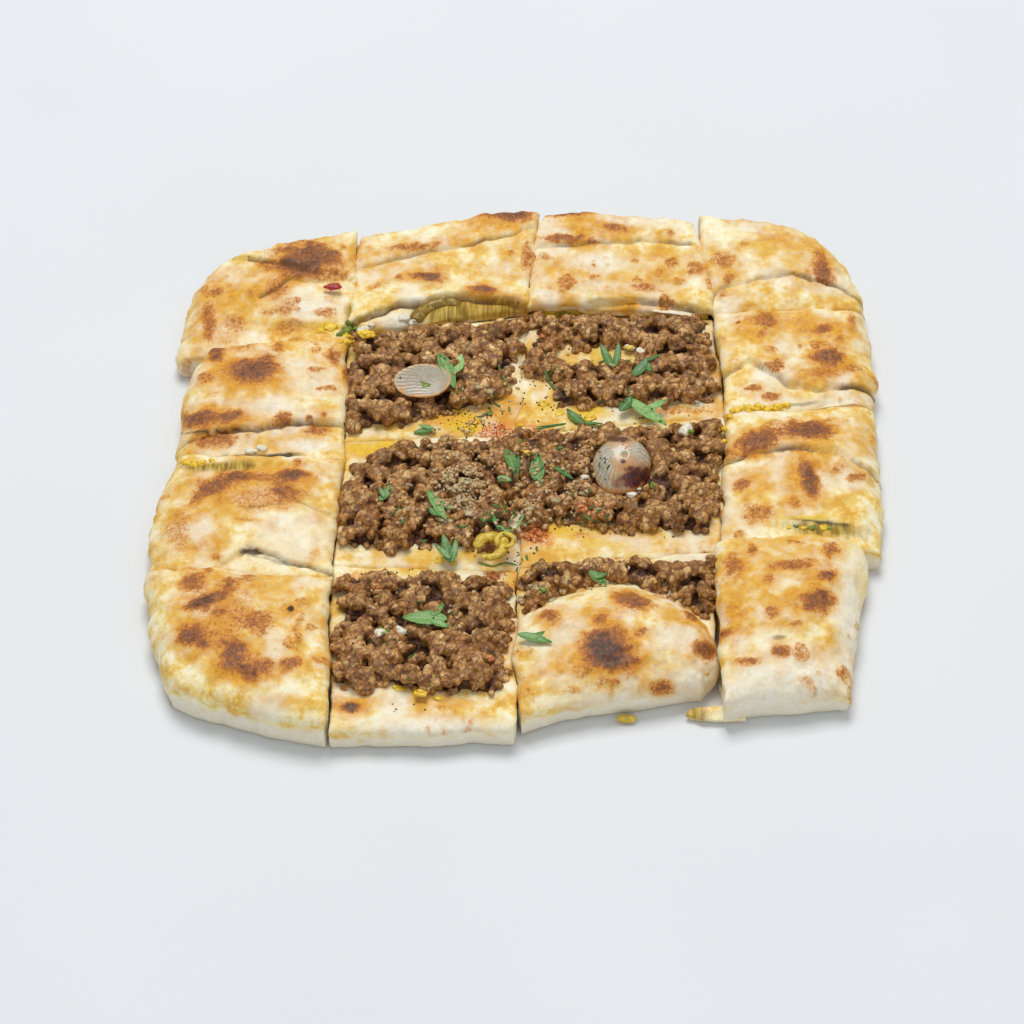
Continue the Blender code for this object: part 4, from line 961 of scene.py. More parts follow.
def behind_layers(name, points):
    """Each layer of a piece, with how far points in plan lie behind its edge."""
    for number, layer in enumerate(LAYERS):
        if layer.piece == name:
            path = [from_pixel(x, y, layer.height) for x, y in layer.path]
            yield layer, past_line(path, points) + 0.9 * rough_noise(points, 6, 40 + number)


def layer_rise(name, points):
    """How much the layers of a piece raise the dough at points in plan."""
    rise = np.zeros(len(points))
    for layer, behind in behind_layers(name, points):
        rise += layer.step * np.exp(-np.maximum(behind, 0) / layer.fade) * ease(behind, 0, 1.1)
        rise -= 0.8 * np.exp(-((behind + 0.6) / 0.7) ** 2)
    return rise


def seam_darkness(name, points):
    """How much painted shade lies along the edges of a piece's layers at points in plan, from 0 to 1: a dark
    line on the lower layer just in front of each edge, broken in places.
    """
    dark = np.zeros(len(points))
    for layer, behind in behind_layers(name, points):
        deepest = min(1, 0.3 + 0.3 * layer.step)
        dark = np.maximum(dark, deepest * np.exp(-((behind + 0.5) / 0.75) ** 2))
    return dark * ease(rough_noise(points, 14, 77), -0.7, 0.3)


def body_height(name, u, v, points):
    """The height of a piece before its sides are rounded over."""
    piece = PIECES[name]
    height = corner_mix(piece.heights, u, v) + piece.crown * (1 - u * u) * (1 - v * v)
    return height + layer_rise(name, points)


def surface_height(name, u, v, points):
    """The height of a piece's top, with its sides rounded over."""
    sides = [PUFFED if side == CUT and name in FILLED else side for side in PIECES[name].sides]
    loss = 0
    for side, distance in zip(sides, edge_distances(name, u, v)):
        loss = loss + (1 - left_at_edge(side, np.maximum(0, distance))) ** 2
    return body_height(name, u, v, points) * (1 - np.minimum(0.8, np.sqrt(loss)))


# ---------------------------------------------------------------- dough
# Faces along a side of a piece's top, of a slab under the meat, of small pieces and of a filling.
TOP_FACES = 80
SLAB_FACES = 46
FEWER_FACES = {"tongue": 30}
FILLING_FACES = 26
# The walls: their rings, how far round a corner two sides blend and how deep the pockets' mouths are.
RINGS = 14
CORNER_REACH = 3
POCKET_DEPTH = 6
# The filling: how far it lies inside a cut and off the dough, and how its side bulges.
FILLING_INSET = 1.6
FILLING_GAP = 0.1
FILLING_BULGE = 0.6
SOFT_CEILING = 28.4
CEILING_SOFTNESS = 0.55
# The dough's waves as their height, size and step of the seed, its folds, and its blisters as their
# share of the full height, size, step of the seed and how full the plan is of them.
WAVES = ((0.8, 17, 0), (0.4, 6, 1), (0.24, 2.6, 2))
FOLD_HEIGHT = 1.3
FOLD_SIZE = 11
BLISTERS = ((1, 10, 3, 0.3), (0.7, 5, 4, 0.4))
BLISTER_HEIGHT = 0.65
# The shares of that relief that walls and the slabs under the meat have.
WALL_RELIEF = 0.55
SLAB_RELIEF = 0.7
# How cuts and outlines wander in plan: the axis, and each wave's height, size and seed.
WANDER = ((0, 1.1, 13, 91), (0, 0.45, 5, 92), (1, 0.9, 13, 93), (1, 0.4, 5, 94))
# How ragged the edges of spots are: each noise's share, size and seed.
RAGGED = ((0.38, 5, 11), (0.22, 2.2, 12))
# How many pixels past a browned spot, across and down, the gold round it is taken away.
HALO = (11, 8)
# The wall of a cut folded piece from its rim down: the share of the way, how it follows the roof's
# rim (1) or the sole (0), how far below the roof's rim or above the ground, and the inset's share.
WALL_STEPS = (0, 0.1, 0.2, 0.27, 0.34, 0.42, 0.58, 0.66, 0.73, 0.8, 0.9, 1)
WALL_DROPS = (0, 1.2, 2.6, ROOF - 0.4, ROOF, ROOF + 0.6, 0, 0, 0, 0, 0, 0)
WALL_RISES = (0, 0, 0, 0, 0, 0, SOLE + 0.8, SOLE + 0.1, SOLE - 0.3, SOLE - 1, 1, 0)
WALL_INSETS = (0, 0, 0.03, 0.12, 0.5, 1, 1, 0.5, 0.12, 0.03, 0, 0.08)


def grid_faces(rows, columns, start=0):
    """The faces of a grid of points that is laid out row by row."""
    row, column = np.meshgrid(np.arange(rows - 1), np.arange(columns - 1), indexing="ij")
    first = (start + row * columns + column).ravel()
    return np.stack([first, first + 1, first + columns + 1, first + columns], 1)


def rim_of(count):
    """The indices of a square grid's outer points, from the front left anticlockwise."""
    step = count + 1
    front = np.arange(0, count)
    right = np.arange(count, count * step + count, step)
    back = np.arange(count * step + count, count * step, -1)
    left = np.arange(count * step, 0, -step)
    return np.concatenate([front, right, back, left])


def side_shares(name, across, along):
    """How far each outer point belongs to the front, right, back and left side."""
    shares = np.maximum(0, 1 - edge_distances(name, across, along) / CORNER_REACH)
    return shares / shares.sum(0)


def pocket_share(name, across, along, side):
    """How open the pocket is at a cut side: it closes towards a folded side."""
    away = edge_distances(name, across, along)
    open_share = np.ones(len(across))
    for other in ((side + 1) % 4, (side + 3) % 4):
        if not PIECES[name].sides[other].is_cut:
            open_share = np.minimum(open_share, ease(away[other], POCKET_INSET - 6, POCKET_INSET + 2))
    return open_share


def wall_ring(name, share, across, along, rim_height):
    """One ring of a piece's side walls: its heights and its four insets."""
    piece = PIECES[name]
    shares = side_shares(name, across, along)
    round_share = 1 - math.sqrt(max(0, 1 - share * share))
    height = np.zeros(len(across))
    insets = []
    for number, side in enumerate(piece.sides):
        plain_height = rim_height * (1 - share)
        plain_inset = side.tuck * round_share + (CUT_WIDTH / 2 if side.is_cut else 0)
        if side.is_cut and name in FILLED:
            drop = np.interp(share, WALL_STEPS, WALL_DROPS)
            rise = np.interp(share, WALL_STEPS, WALL_RISES)
            upper = 1 - ease(np.float64(share), 0.42, 0.58)
            pocket_height = np.maximum(0, (rim_height - drop) * upper + rise * (1 - upper))
            opening = pocket_share(name, across, along, number)
            pocket_inset = CUT_WIDTH / 2 + POCKET_DEPTH * np.interp(share, WALL_STEPS, WALL_INSETS)
            plain_height = plain_height * (1 - opening) + pocket_height * opening
            plain_inset = plain_inset * (1 - opening) + pocket_inset * opening
        height += shares[number] * plain_height
        insets.append(plain_inset)
    return height, insets


def dough_points(name, count):
    """The points of a piece before its fine relief, with the share that each lies down a wall."""
    piece, corners = PIECES[name], corners_of(name)
    line = np.linspace(-1, 1, count + 1)
    line = 0.6 * line + 0.4 * np.sin(math.pi / 2 * line)
    across, along = (part.ravel() for part in np.meshgrid(line, line))
    rim_insets = [CUT_WIDTH / 2 if side.is_cut else 0 for side in piece.sides]
    u, v = inset_square(corners, across, along, rim_insets)
    plan = place_in_plan(name, u, v)
    height = surface_height(name, u, v, plan)
    points = [np.column_stack([plan, height])]
    walls = [np.zeros(len(plan))]
    rim = rim_of(count)
    for ring in range(1, RINGS + 1):
        share = ring / RINGS
        ring_height, insets = wall_ring(name, share, across[rim], along[rim], height[rim])
        u, v = inset_square(corners, across[rim], along[rim], insets)
        points.append(np.column_stack([place_in_plan(name, u, v), ring_height]))
        walls.append(np.full(len(rim), share))
    return np.concatenate(points), np.concatenate(walls), rim


def dough_faces(count, rim):
    """The faces of a piece's top, of its walls and of its flat foot, which closes on one point."""
    faces = [tuple(face) for face in grid_faces(count + 1, count + 1)]
    upper = rim
    start = (count + 1) ** 2
    around = len(rim)
    for _ring in range(RINGS):
        lower = start + np.arange(around)
        faces += bridged(upper, lower)
        upper = lower
        start += around
    faces += [(upper[index], start, upper[(index + 1) % around]) for index in range(around)]
    return faces


def spot_values(name, points, facing):
    """The colour fields of a piece: one array from 0 to 1 for each kind of spot."""
    pixels = to_pixels(points)
    ragged = sum(share * rough_noise(points, size, seed) for share, size, seed in RAGGED)
    left = {kind: np.ones(len(points)) for kind in range(len(KINDS))}
    for kind, x, y, half_width, half_height, strength, *turn in SPOTS.get(name, ()):
        angle = math.radians(turn[0]) if turn else 0
        off_x, off_y = pixels[:, 0] - x, pixels[:, 1] - y
        along = (off_x * math.cos(angle) + off_y * math.sin(angle)) / half_width
        across = (-off_x * math.sin(angle) + off_y * math.cos(angle)) / half_height
        away = np.hypot(along, across) + ragged
        soft = SPOT_SOFTNESS.get(kind, 0.75)
        weaker = 0.9 if kind == TOAST else 1
        left[kind] *= 1 - weaker * strength * (1 - ease(away, 1 - soft, 1 + soft * 0.7))
        if kind == TOAST:
            halo = np.hypot(off_x / (half_width + HALO[0]), off_y / (half_height + HALO[1])) + 0.6 * ragged
            left[GOLD] *= 1 - 0.85 * strength * (1 - ease(halo, 0.5, 1.35))
    return {kind: (1 - share) * ease(facing, 0.02, 0.3) for kind, share in left.items()}


def waved(points):
    """Points moved sideways by up to a millimetre, so that cuts and outlines aren't straight."""
    plan = points[:, :2]
    moved = points.copy()
    for axis, height, size, seed in WANDER:
        moved[:, axis] += height * smooth_noise(plan, size, seed)
    return moved


def dough_relief(points, seed):
    """How far the waves, folds and blisters of the dough stand out, and how raised the blisters are."""
    relief = sum(height * rough_noise(points, size, seed + step) for height, size, step in WAVES)
    slanted = points * (0.45, 1, 1) + 0.5 * points[:, [1]] * (0.4 * math.sin(seed), 0, 0)
    relief += FOLD_HEIGHT * (0.4 - np.abs(rough_noise(slanted, FOLD_SIZE, seed + 8)))
    raised = sum(share * blisters(points, size, seed + step, full) for share, size, step, full in BLISTERS)
    return relief + BLISTER_HEIGHT * raised, raised


def deepen(values, kind, least):
    """Makes one kind of colour on the dough at least this strong."""
    values[kind] = np.maximum(values[kind], least)


def bake_top(values, points, is_top, raised, seed):
    """Browned blisters, and golden and floury stretches between the placed spots."""
    heated = ease(rough_noise(points, 20, seed + 12), -0.3, 0.5) * is_top
    deepen(values, TOAST, 0.42 * heated * ease(raised, 0.3, 0.9))
    deepen(values, GOLD, 0.6 * heated)
    floury = ease(rough_noise(points, 15, seed + 14), 0.05, 0.6) * is_top
    deepen(values, PALE, 0.65 * floury)


def bake_walls(values, points, walls, hidden, seed):
    """Browning on the walls that the photograph doesn't show, and a pale rim on those that it does."""
    is_wall = walls > 0
    browned = ease(rough_noise(points, 11, seed + 6) + 0.5 * rough_noise(points, 4, seed + 7), 0.35, 0.9)
    deepen(values, TOAST, browned * 0.55 * hidden * is_wall)
    deepen(values, GOLD, 0.5 * hidden * is_wall)
    paleness = ease(walls + 0.2 * rough_noise(points, 5, seed + 9), 0, 0.4) * is_wall
    deepen(values, PALE, paleness * (1 - hidden) * 0.95)


def make_dough(name, material):
    """A piece of dough with its relief and its colour fields."""
    count = FEWER_FACES.get(name, SLAB_FACES if PIECES[name] == OPEN_SLAB else TOP_FACES)
    points, walls, rim = dough_points(name, count)
    middle = points[: (count + 1) ** 2].mean(0)
    points = np.concatenate([points, [(middle[0], middle[1], 0)]])
    walls = np.concatenate([walls, [1]])
    thing = make_mesh("bread_" + name, points, dough_faces(count, rim), material)
    normals = normals_of(thing)
    facing = normals @ BACKWARD
    values = spot_values(name, points, facing)
    seed = sum(ord(letter) for letter in name)
    relief, raised = dough_relief(points, seed)
    bake_top(values, points, walls == 0, raised, seed)
    relief += values[TOAST] * (0.5 + 0.5 * smooth_noise(points, 3, seed + 5))
    strength = np.where(walls > 0, WALL_RELIEF, 1) * (1 if name in (*FILLED, "flap") else SLAB_RELIEF)
    low = ease(points[:, 2], 0.3, 3)
    points = points + normals * (relief * strength * low)[:, None]
    points[:, 2] = np.maximum(points[:, 2], 0)
    points[:, 2] -= CEILING_SOFTNESS * np.maximum(0, points[:, 2] - SOFT_CEILING)
    set_plan_points(thing, waved(points))
    hidden = ease(-facing, -0.1, 0.25)
    bake_walls(values, points, walls, hidden, seed)
    wall = ease(walls, 0.05, 0.5) * ease(hidden, 0.9, 0.2)
    # Painted shade along the edges of the dough's layers, on the top only.
    seam = seam_darkness(name, points[:, :2]) * (walls == 0)
    write_fields(thing, wall=wall, seam=seam, **{field: values[kind] for kind, field in enumerate(KINDS)})
    return thing


def make_filling(name, material):
    """The lumpy filling that shows at a folded piece's cuts."""
    piece, corners = PIECES[name], corners_of(name)
    count = FILLING_FACES
    line = np.linspace(-1, 1, count + 1)
    across, along = (part.ravel() for part in np.meshgrid(line, line))
    insets = [FILLING_INSET if side.is_cut else POCKET_INSET for side in piece.sides]
    u, v = inset_square(corners, across, along, insets)
    plan = place_in_plan(name, u, v)
    roof = surface_height(name, u, v, plan) - ROOF - FILLING_GAP
    rim = rim_of(count)
    middle_height = (roof + SOLE) / 2
    top = np.column_stack([plan, roof])
    ring = np.column_stack([plan[rim], middle_height[rim]])
    low = np.column_stack([plan, np.full(len(plan), SOLE + FILLING_GAP)])
    outward = ring[:, :2] - plan.mean(0)
    ring[:, :2] += outward / np.linalg.norm(outward, axis=1)[:, None] * FILLING_BULGE
    points = np.concatenate([top, ring, low])
    bulge, foot = len(plan) + np.arange(len(rim)), len(plan) + len(rim)
    faces = [tuple(face) for face in grid_faces(count + 1, count + 1)]
    faces += [tuple(face[::-1]) for face in grid_faces(count + 1, count + 1, foot)]
    faces += bridged(rim, bulge) + bridged(bulge, foot + rim)
    thing = make_mesh("egg_in_" + name, points, faces, material)
    normals = normals_of(thing)
    lumps = 0.9 * smooth_noise(points, 4, 21) + 0.5 * smooth_noise(points, 2.1, 22)
    set_plan_points(thing, waved(points + normals * np.minimum(lumps, 0.7)[:, None]))
    return thing


# ---------------------------------------------------------------- meat
def inside_patches(patches, points):
    """How far plan points are inside the nearest of some four-sided patches, below 0 when outside."""
    deepest = np.full(len(points), -np.inf)
    for patch in patches:
        nearest = np.full(len(points), np.inf)
        for side in range(4):
            start, end = np.array(patch[side], float), np.array(patch[(side + 1) % 4], float)
            way = (end - start) / np.linalg.norm(end - start)
            off = points - start
            nearest = np.minimum(nearest, way[0] * off[:, 1] - way[1] * off[:, 0])
        deepest = np.maximum(deepest, nearest)
    return deepest


def resting_nodes(heap):
    """The middle and the reach in plan of what lies on a heap, with the height of its underside."""
    heap_middle, heap_half, _base = plan_box(heap)
    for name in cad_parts:
        if name.startswith(("leaf_", "onion_", "pepper_")):
            middle, half, base = plan_box(name)
            if (np.abs(middle - heap_middle) < heap_half)[:2].all():
                yield middle[:2], half[:2], base


def core_height(heap, points):
    """The height of the heap's core above the ground at plan points."""
    rounded = np.clip(inside_patches(HEAPS[heap], points) / 9, 0, 1)
    return HEAP_BASE + CORE_HEIGHT * (0.3 + 0.7 * np.sqrt(1 - (1 - rounded) ** 2))


def height_limit(heap, points):
    """How high the meat may reach at plan points, under what rests on it."""
    limit = np.full(len(points), 90.0)
    for place, reach, underside in resting_nodes(heap):
        away = np.hypot(*((points - place) / (reach + 0.8)).T)
        limit = np.minimum(limit, underside - 0.2 + 30 * np.maximum(0, away - 1))
    return limit


def ball_shape(subdivisions):
    """The points and faces of a ball of radius 1."""
    ball = bmesh.new()
    bmesh.ops.create_icosphere(ball, subdivisions=subdivisions, radius=1)
    points = np.array([vertex.co[:] for vertex in ball.verts])
    faces = [tuple(vertex.index for vertex in face.verts) for face in ball.faces]
    ball.free()
    return points, faces


def scattered_places(heap, spacing, draw):
    """Jittered places over a heap, up to its uneven edge."""
    patches = HEAPS[heap]
    corners = np.array([corner for patch in patches for corner in patch])
    low, high = corners.min(0), corners.max(0)
    row_step = spacing * math.sqrt(3) / 2
    places = []
    for row in range(int((high[1] - low[1]) / row_step) + 2):
        count = int((high[0] - low[0]) / spacing) + 2
        x = low[0] + (row % 2) * spacing / 2 + spacing * np.arange(count)
        y = np.full(count, low[1] + row * row_step)
        places.append(np.stack([x, y], 1))
    places = np.concatenate(places)
    places += draw.uniform(-0.3, 0.3, places.shape) * spacing
    edge = 0.6 + 2 * smooth_noise(places, 9, 5)
    return places[inside_patches(patches, places) > edge]


def heap_core(heap):
    """The heap's core under its knobs, as points and faces of one closed form."""
    corners = np.array([corner for patch in HEAPS[heap] for corner in patch], float)
    low, high = corners.min(0), corners.max(0)
    columns, rows = (int(span / 1.2) + 1 for span in high - low)
    x, y = np.meshgrid(np.linspace(low[0], high[0], columns), np.linspace(low[1], high[1], rows))
    plan = np.stack([x.ravel(), y.ravel()], 1)
    inside = inside_patches(HEAPS[heap], plan)
    top = np.minimum(core_height(heap, plan), height_limit(heap, plan)) - CORE_DEPTH
    bottom = HEAP_BASE - HEAP_SINK
    top = np.where(inside > CORE_EDGE, np.maximum(top, bottom + 1), bottom + 0.05)
    upper = np.column_stack([plan, top])
    lower = np.column_stack([plan, np.full(len(plan), bottom)])
    faces = grid_faces(rows, columns)
    kept = (inside[faces] > CORE_EDGE).any(1)
    faces = faces[kept]
    under = faces[:, ::-1] + len(plan)
    edges = dict.fromkeys(edge for face in faces for edge in zip(face, np.roll(face, -1)))
    outer = [(start, end) for start, end in edges if (end, start) not in edges]
    walls = [(end, start, start + len(plan), end + len(plan)) for start, end in outer]
    return np.concatenate([upper, lower]), [tuple(face) for face in (*faces, *under)] + walls


def knobs_of(heap, draw):
    """The middles and the radii of the knobs of a heap: those of its lumps and smaller ones between."""
    middles, radii, tops = [], [], []
    for place in scattered_places(heap, LUMP_SPACING, draw):
        size = draw.uniform(*LUMP_SIZES)
        lift = draw.uniform(*LUMP_LIFTS)
        for _knob in range(draw.integers(*LUMP_KNOBS)):
            away = math.sqrt(draw.uniform()) * LUMP_REACH * size
            angle = draw.uniform(0, 2 * math.pi)
            dome = math.sqrt(1 - (away / (LUMP_REACH * size + 0.8)) ** 2)
            middles.append(place + away * np.array((math.cos(angle), math.sin(angle))))
            tops.append(lift + LUMP_RISE * size * dome - LUMP_DROP)
            radii.append(draw.uniform(*KNOB_RADIUS))
    for place in scattered_places(heap, FILLER_SPACING, draw):
        middles.append(place)
        tops.append(draw.uniform(*FILLER_TOPS))
        radii.append(draw.uniform(*FILLER_RADIUS))
    middles, radii = np.array(middles), np.array(radii)
    tops = np.minimum(core_height(heap, middles) + np.array(tops), height_limit(heap, middles))
    heights = np.maximum(tops - radii, HEAP_BASE - 0.2)
    return np.column_stack([middles, heights]), radii


def applied(thing, kind, **settings):
    """Applies one modifier to a thing."""
    modifier = thing.modifiers.new(kind.lower(), kind)
    for key, value in settings.items():
        setattr(modifier, key, value)
    graph = bpy.context.evaluated_depsgraph_get()
    mesh = bpy.data.meshes.new_from_object(thing.evaluated_get(graph))
    thing.modifiers.clear()
    thing.data = mesh
    return thing


def cap_foot(thing, height):
    """Puts one flat face for each outline in place of the many small faces of a thing's foot."""
    form = bmesh.new()
    form.from_mesh(thing.data)
    foot = [face for face in form.faces if face.normal.z < -0.95 and face.calc_center_median().z < height]
    bmesh.ops.delete(form, geom=foot, context="FACES")
    bmesh.ops.holes_fill(form, edges=[edge for edge in form.edges if edge.is_boundary], sides=0)
    form.to_mesh(thing.data)
    form.free()


def make_heap(heap, number, material):
    """Minced meat: knobs in lumps over a core, melted together and roughened."""
    seed = 60 + 10 * number
    draw = np.random.default_rng(seed)
    ball_points, ball_faces = ball_shape(KNOB_DIVISIONS)
    parts = [heap_core(heap)]
    for centre, radius in zip(*knobs_of(heap, draw)):
        squash = draw.uniform(*KNOB_SQUASH, 3)
        lumps = 1 + 0.34 * smooth_noise(ball_points * 1.5 + centre, 1, seed)
        parts.append((centre + ball_points * radius * squash * lumps[:, None], ball_faces))
    points, faces = joined(parts)
    points[:, 2] = np.maximum(points[:, 2], HEAP_BASE - HEAP_SINK)
    thing = make_mesh("mince_" + heap.removeprefix("meat_"), points, faces, material)
    applied(thing, "REMESH", mode="VOXEL", voxel_size=MEAT_VOXEL * MM)
    cap_foot(thing, (HEAP_BASE - HEAP_SINK + 0.2) * MM)
    points = plan_points(thing)
    normals = normals_of(thing)
    grain = 0.16 * smooth_noise(points, 0.9, seed + 2) + 0.5 * smooth_noise(points, 2.6, seed + 3)
    # Painted shade in the creases between grains, and a brightness that varies from grain to grain.
    crease, tint = np.zeros(len(points)), np.zeros(len(points))
    for size, height, darkness in GRAINS:
        bulge, near, draw_of = grains(points, size, seed + int(10 * size))
        grain += height * (bulge - 0.72)
        crease = np.maximum(crease, darkness * near)
        tint += darkness * (draw_of - 0.5)
    free = ease(points[:, 2], HEAP_BASE - 0.6, HEAP_BASE + 1)
    # Painted shade lower in the heap, below its core's top, with less of it near the heap's edge.
    depth = core_height(heap, points[:, :2]) + 1.4 - points[:, 2]
    depth -= 2.4 * (1 - ease(inside_patches(HEAPS[heap], points[:, :2]), 0, 6))
    points = points + normals * (grain * free)[:, None]
    points[:, 2] = np.minimum(points[:, 2], np.maximum(height_limit(heap, points[:, :2]) + 0.3, HEAP_BASE))
    set_plan_points(thing, points)
    thing.data.shade_smooth()
    write_fields(thing, deep=ease(depth, 0.6, 4.4), crease=crease, tint=tint)
    return thing


# ---------------------------------------------------------------- toppings
def leaflet(start, tip, half_width, height, seed):
    """The points of one leaflet: a toothed blade, folded along its rib and curling at its tip."""
    way = tip - start
    length = np.linalg.norm(way)
    way = way / length
    side = np.array((-way[1], way[0]))
    line, row = np.linspace(0, 1, LEAFLET_ALONG + 1), np.linspace(-1, 1, LEAFLET_ACROSS + 1)
    t, s = (part.ravel() for part in np.meshgrid(line, row, indexing="ij"))
    wide = half_width * np.sin(math.pi * np.clip(t, 0.015, 0.992) ** 0.8) ** 0.75
    wide *= 1 + 0.1 * np.abs(np.sin(t * length * 0.9 + seed))
    bend = 0.05 * length * np.sin(2.4 * t + seed)
    plan = start + way * (t * length)[:, None] + side * (s * wide + bend)[:, None]
    lift = 0.34 * half_width * np.abs(s) ** 1.5 * (0.5 + 0.5 * np.sin(2 * t + seed))
    lift += 0.45 * np.sin(3 * t + 1.7 * seed) + 0.9 * t ** 3
    return np.column_stack([plan, height + np.maximum(lift, -0.15)])


def make_leaf(name, material, surface):
    """A sprig of parsley on its node's place, or lower where the surface in the picture lies lower."""
    base = plan_box(name)[2] + 0.45
    under = []
    for x0, y0, x1, y1, _half_width, _paleness in LEAFLETS[name]:
        for share in (0, 0.25, 0.5, 0.75, 1):
            found = surface.under_pixel(x0 + (x1 - x0) * share, y0 + (y1 - y0) * share)
            if found is not None:
                under.append(found[0][2])
    base = min(base, max(under, default=base) + 0.5)
    blades, pale = [], []
    faces = grid_faces(LEAFLET_ALONG + 1, LEAFLET_ACROSS + 1)
    for number, (x0, y0, x1, y1, half_width, paleness) in enumerate(LEAFLETS[name]):
        start, tip = from_pixel(x0, y0, base), from_pixel(x1, y1, base)
        blade = leaflet(start, tip, half_width, base + 0.25 * number, number + int(name[5:]))
        blades.append((blade, faces))
        pale += [paleness] * len(blade)
    thing = make_mesh("parsley_" + name, *joined(blades), material)
    across = np.abs(np.linspace(-1, 1, LEAFLET_ACROSS + 1))
    rib = np.tile(1 - ease(across, 0, 0.3), (LEAFLET_ALONG + 1) * len(blades))
    write_fields(thing, light=pale, rib=rib)
    applied(thing, "SOLIDIFY", thickness=LEAF_THICKNESS * MM, offset=0)
    thing.data.shade_smooth()
    return thing


def strand_path(strand, surface):
    """The strand's path in plan millimetres, at its height or just over what its pixels show."""
    if strand.height is not None:
        return np.array([[*from_pixel(x, y, strand.height), strand.height] for x, y in strand.path])
    found = [surface.under_pixel(x, y) for x, y in strand.path]
    places = [place for place, _normal in filter(None, found)]
    sunk = 0.4 * strand.radii[0] * strand.flat - 0.6 * max(0, strand.radii[0] - 0.6)
    return np.array(places) + (0, 0, sunk)


def tube(strand, seed, surface):
    """The points and faces of a soft strand with closed ends."""
    path = strand_path(strand, surface)
    steps = np.concatenate([[0], np.cumsum(np.linalg.norm(np.diff(path, axis=0), axis=1))])
    count = max(12, int(steps[-1] / 0.5))
    at = np.linspace(0, steps[-1], count)
    line = np.stack([np.interp(at, steps, path[:, axis]) for axis in range(3)], 1)
    for _pass in range(6):
        line[1:-1] = (line[:-2] + 2 * line[1:-1] + line[2:]) / 4
    line[:, 2] += 0.5 * smooth_noise(line, 6, seed)
    way = np.gradient(line, axis=0)
    way /= np.linalg.norm(way, axis=1)[:, None]
    side = np.cross(way, (0, 0, 1))
    side /= np.linalg.norm(side, axis=1)[:, None]
    above = np.cross(side, way)
    share = at / at[-1]
    radius = np.interp(share, (0, 1), strand.radii) * np.sqrt(1 - (2 * share - 1) ** 8 * 0.93)
    turns = np.linspace(0, 2 * math.pi, STRAND_AROUND, endpoint=False)
    points = []
    for index in range(count):
        for turn in turns:
            ribbed = 1 + 0.07 * math.sin(5 * turn) + 0.05 * math.sin(at[index] * 3.4 / strand.radii[0])
            out = side[index] * math.cos(turn) + above[index] * math.sin(turn) * strand.flat
            points.append(line[index] + out * radius[index] * ribbed)
    faces = [face[::-1] for face in faces_of_rings(count, STRAND_AROUND)]
    ends = tuple(range(STRAND_AROUND))[::-1], tuple(range(len(points) - STRAND_AROUND, len(points)))
    return np.array(points), faces + list(ends)


def make_strands(name, strands, material, surface=None):
    """One piece of some soft strands."""
    parts = [tube(strand, number, surface) for number, strand in enumerate(strands)]
    thing = make_mesh(name, *joined(parts), material)
    count = len(thing.data.vertices)
    write_fields(thing, light=np.full(count, 0.3), pale=np.full(count, 0.7))
    return thing


def blob(middle, radii, seed, subdivisions=3, roughness=0.28):
    """The points and faces of a lumpy morsel."""
    points, faces = ball_shape(subdivisions)
    lumps = 1 + roughness * smooth_noise(points * 1.4 + seed * 3.1, 1, seed)
    lumps += 0.5 * roughness * smooth_noise(points * 3 + seed * 3.1, 1, seed + 1)
    return np.asarray(middle) + points * lumps[:, None] * np.asarray(radii), faces


def disc(rings, around):
    """A disc's points ring by ring: the share of the way out and the turn of each."""
    turns = np.linspace(0, 2 * math.pi, around, endpoint=False)
    share, turn = np.meshgrid(np.arange(rings + 1) / rings, turns, indexing="ij")
    return share.ravel(), turn.ravel()


def make_onion(name, points, size, share, rib, material):
    """A piece of onion on a disc of points, with its colour fields: spots, rim, ribs and stripes."""
    rings, around = size
    thing = make_mesh(name, points, faces_of_rings(rings + 1, around), material)
    kind = name.removeprefix("onion_")
    is_petal = kind == "petal"
    values = spot_values(kind, plan_points(thing), np.ones(len(points)))
    layered = 0.5 + 0.5 * np.sin(share * 34) if is_petal else 0
    write_fields(
        thing,
        toast=values[TOAST] * (1 - 0.3 * layered),
        gold=values[GOLD],
        spice=values[SPICE],
        rim=ease(share, 0.86, 1),
        rib=0.5 + 0.5 * rib,
        clear=np.full(len(points), 0.0 if is_petal else 1.0),
    )
    applied(thing, "SOLIDIFY", thickness=ONION_THICKNESS[kind] * MM, offset=-1)
    thing.data.shade_smooth()
    return thing


def make_onion_slice(material):
    """A thin translucent slice whose layers show as fine ribs that spread from one end."""
    middle, half, base = plan_box("onion_slice")
    share, turn = disc(*SLICE_SIZE)
    outline = 1 + 0.05 * np.cos(2 * turn - 0.6) + 0.012 * np.sin(5 * turn)
    x = half[0] * outline * share * np.cos(turn)
    y = half[1] * outline * share * np.sin(turn)
    rib = np.sin(74 * np.arctan2(y + 3 + 0.1 * x, 17 - x) + 1.2 * np.sin(0.5 * x))
    height = base + 0.9 + 0.9 * (1 - share ** 2) + 0.5 * share ** 6 + 0.08 * rib * share
    points = np.column_stack([middle[0] + x, middle[1] + y, height])
    return make_onion("onion_slice", points, SLICE_SIZE, share, rib, material)


def make_onion_petal(material):
    """A seared piece of onion: a ribbed cup turned over, charred at its tip and one side."""
    middle, half, base = plan_box("onion_petal")
    share, turn = disc(*PETAL_SIZE)
    outline = 1 + 0.04 * np.sin(2 * turn + 0.6) + 0.025 * np.sin(5 * turn)
    x = half[0] * outline * share * np.cos(turn)
    y = half[1] * outline * share * np.sin(turn)
    rib = np.sin(32 * turn + 1.5 * np.sin(4 * share)) * ease(share, 0.1, 0.4)
    dent = 1.4 * np.exp(-(((x - 1) / 0.9) ** 2 + ((y + 1) / 0.8) ** 2))
    layers = 0.2 * np.sin(share * 21) * ease(-y - x * 0.4, -1, 4) * ease(share, 0.4, 0.7)
    rise = 2 * half[2] * (1 - 0.96 * share ** 3) - dent + 0.26 * rib * share + layers
    tilt = 1.7 + 0.26 * y
    height = base + 0.2 + np.maximum(rise * 0.9, 0) + np.maximum(tilt, 0)
    points = np.column_stack([middle[0] + x, middle[1] + 1 + 1.12 * y, height])
    return make_onion("onion_petal", points, PETAL_SIZE, share, rib, material)


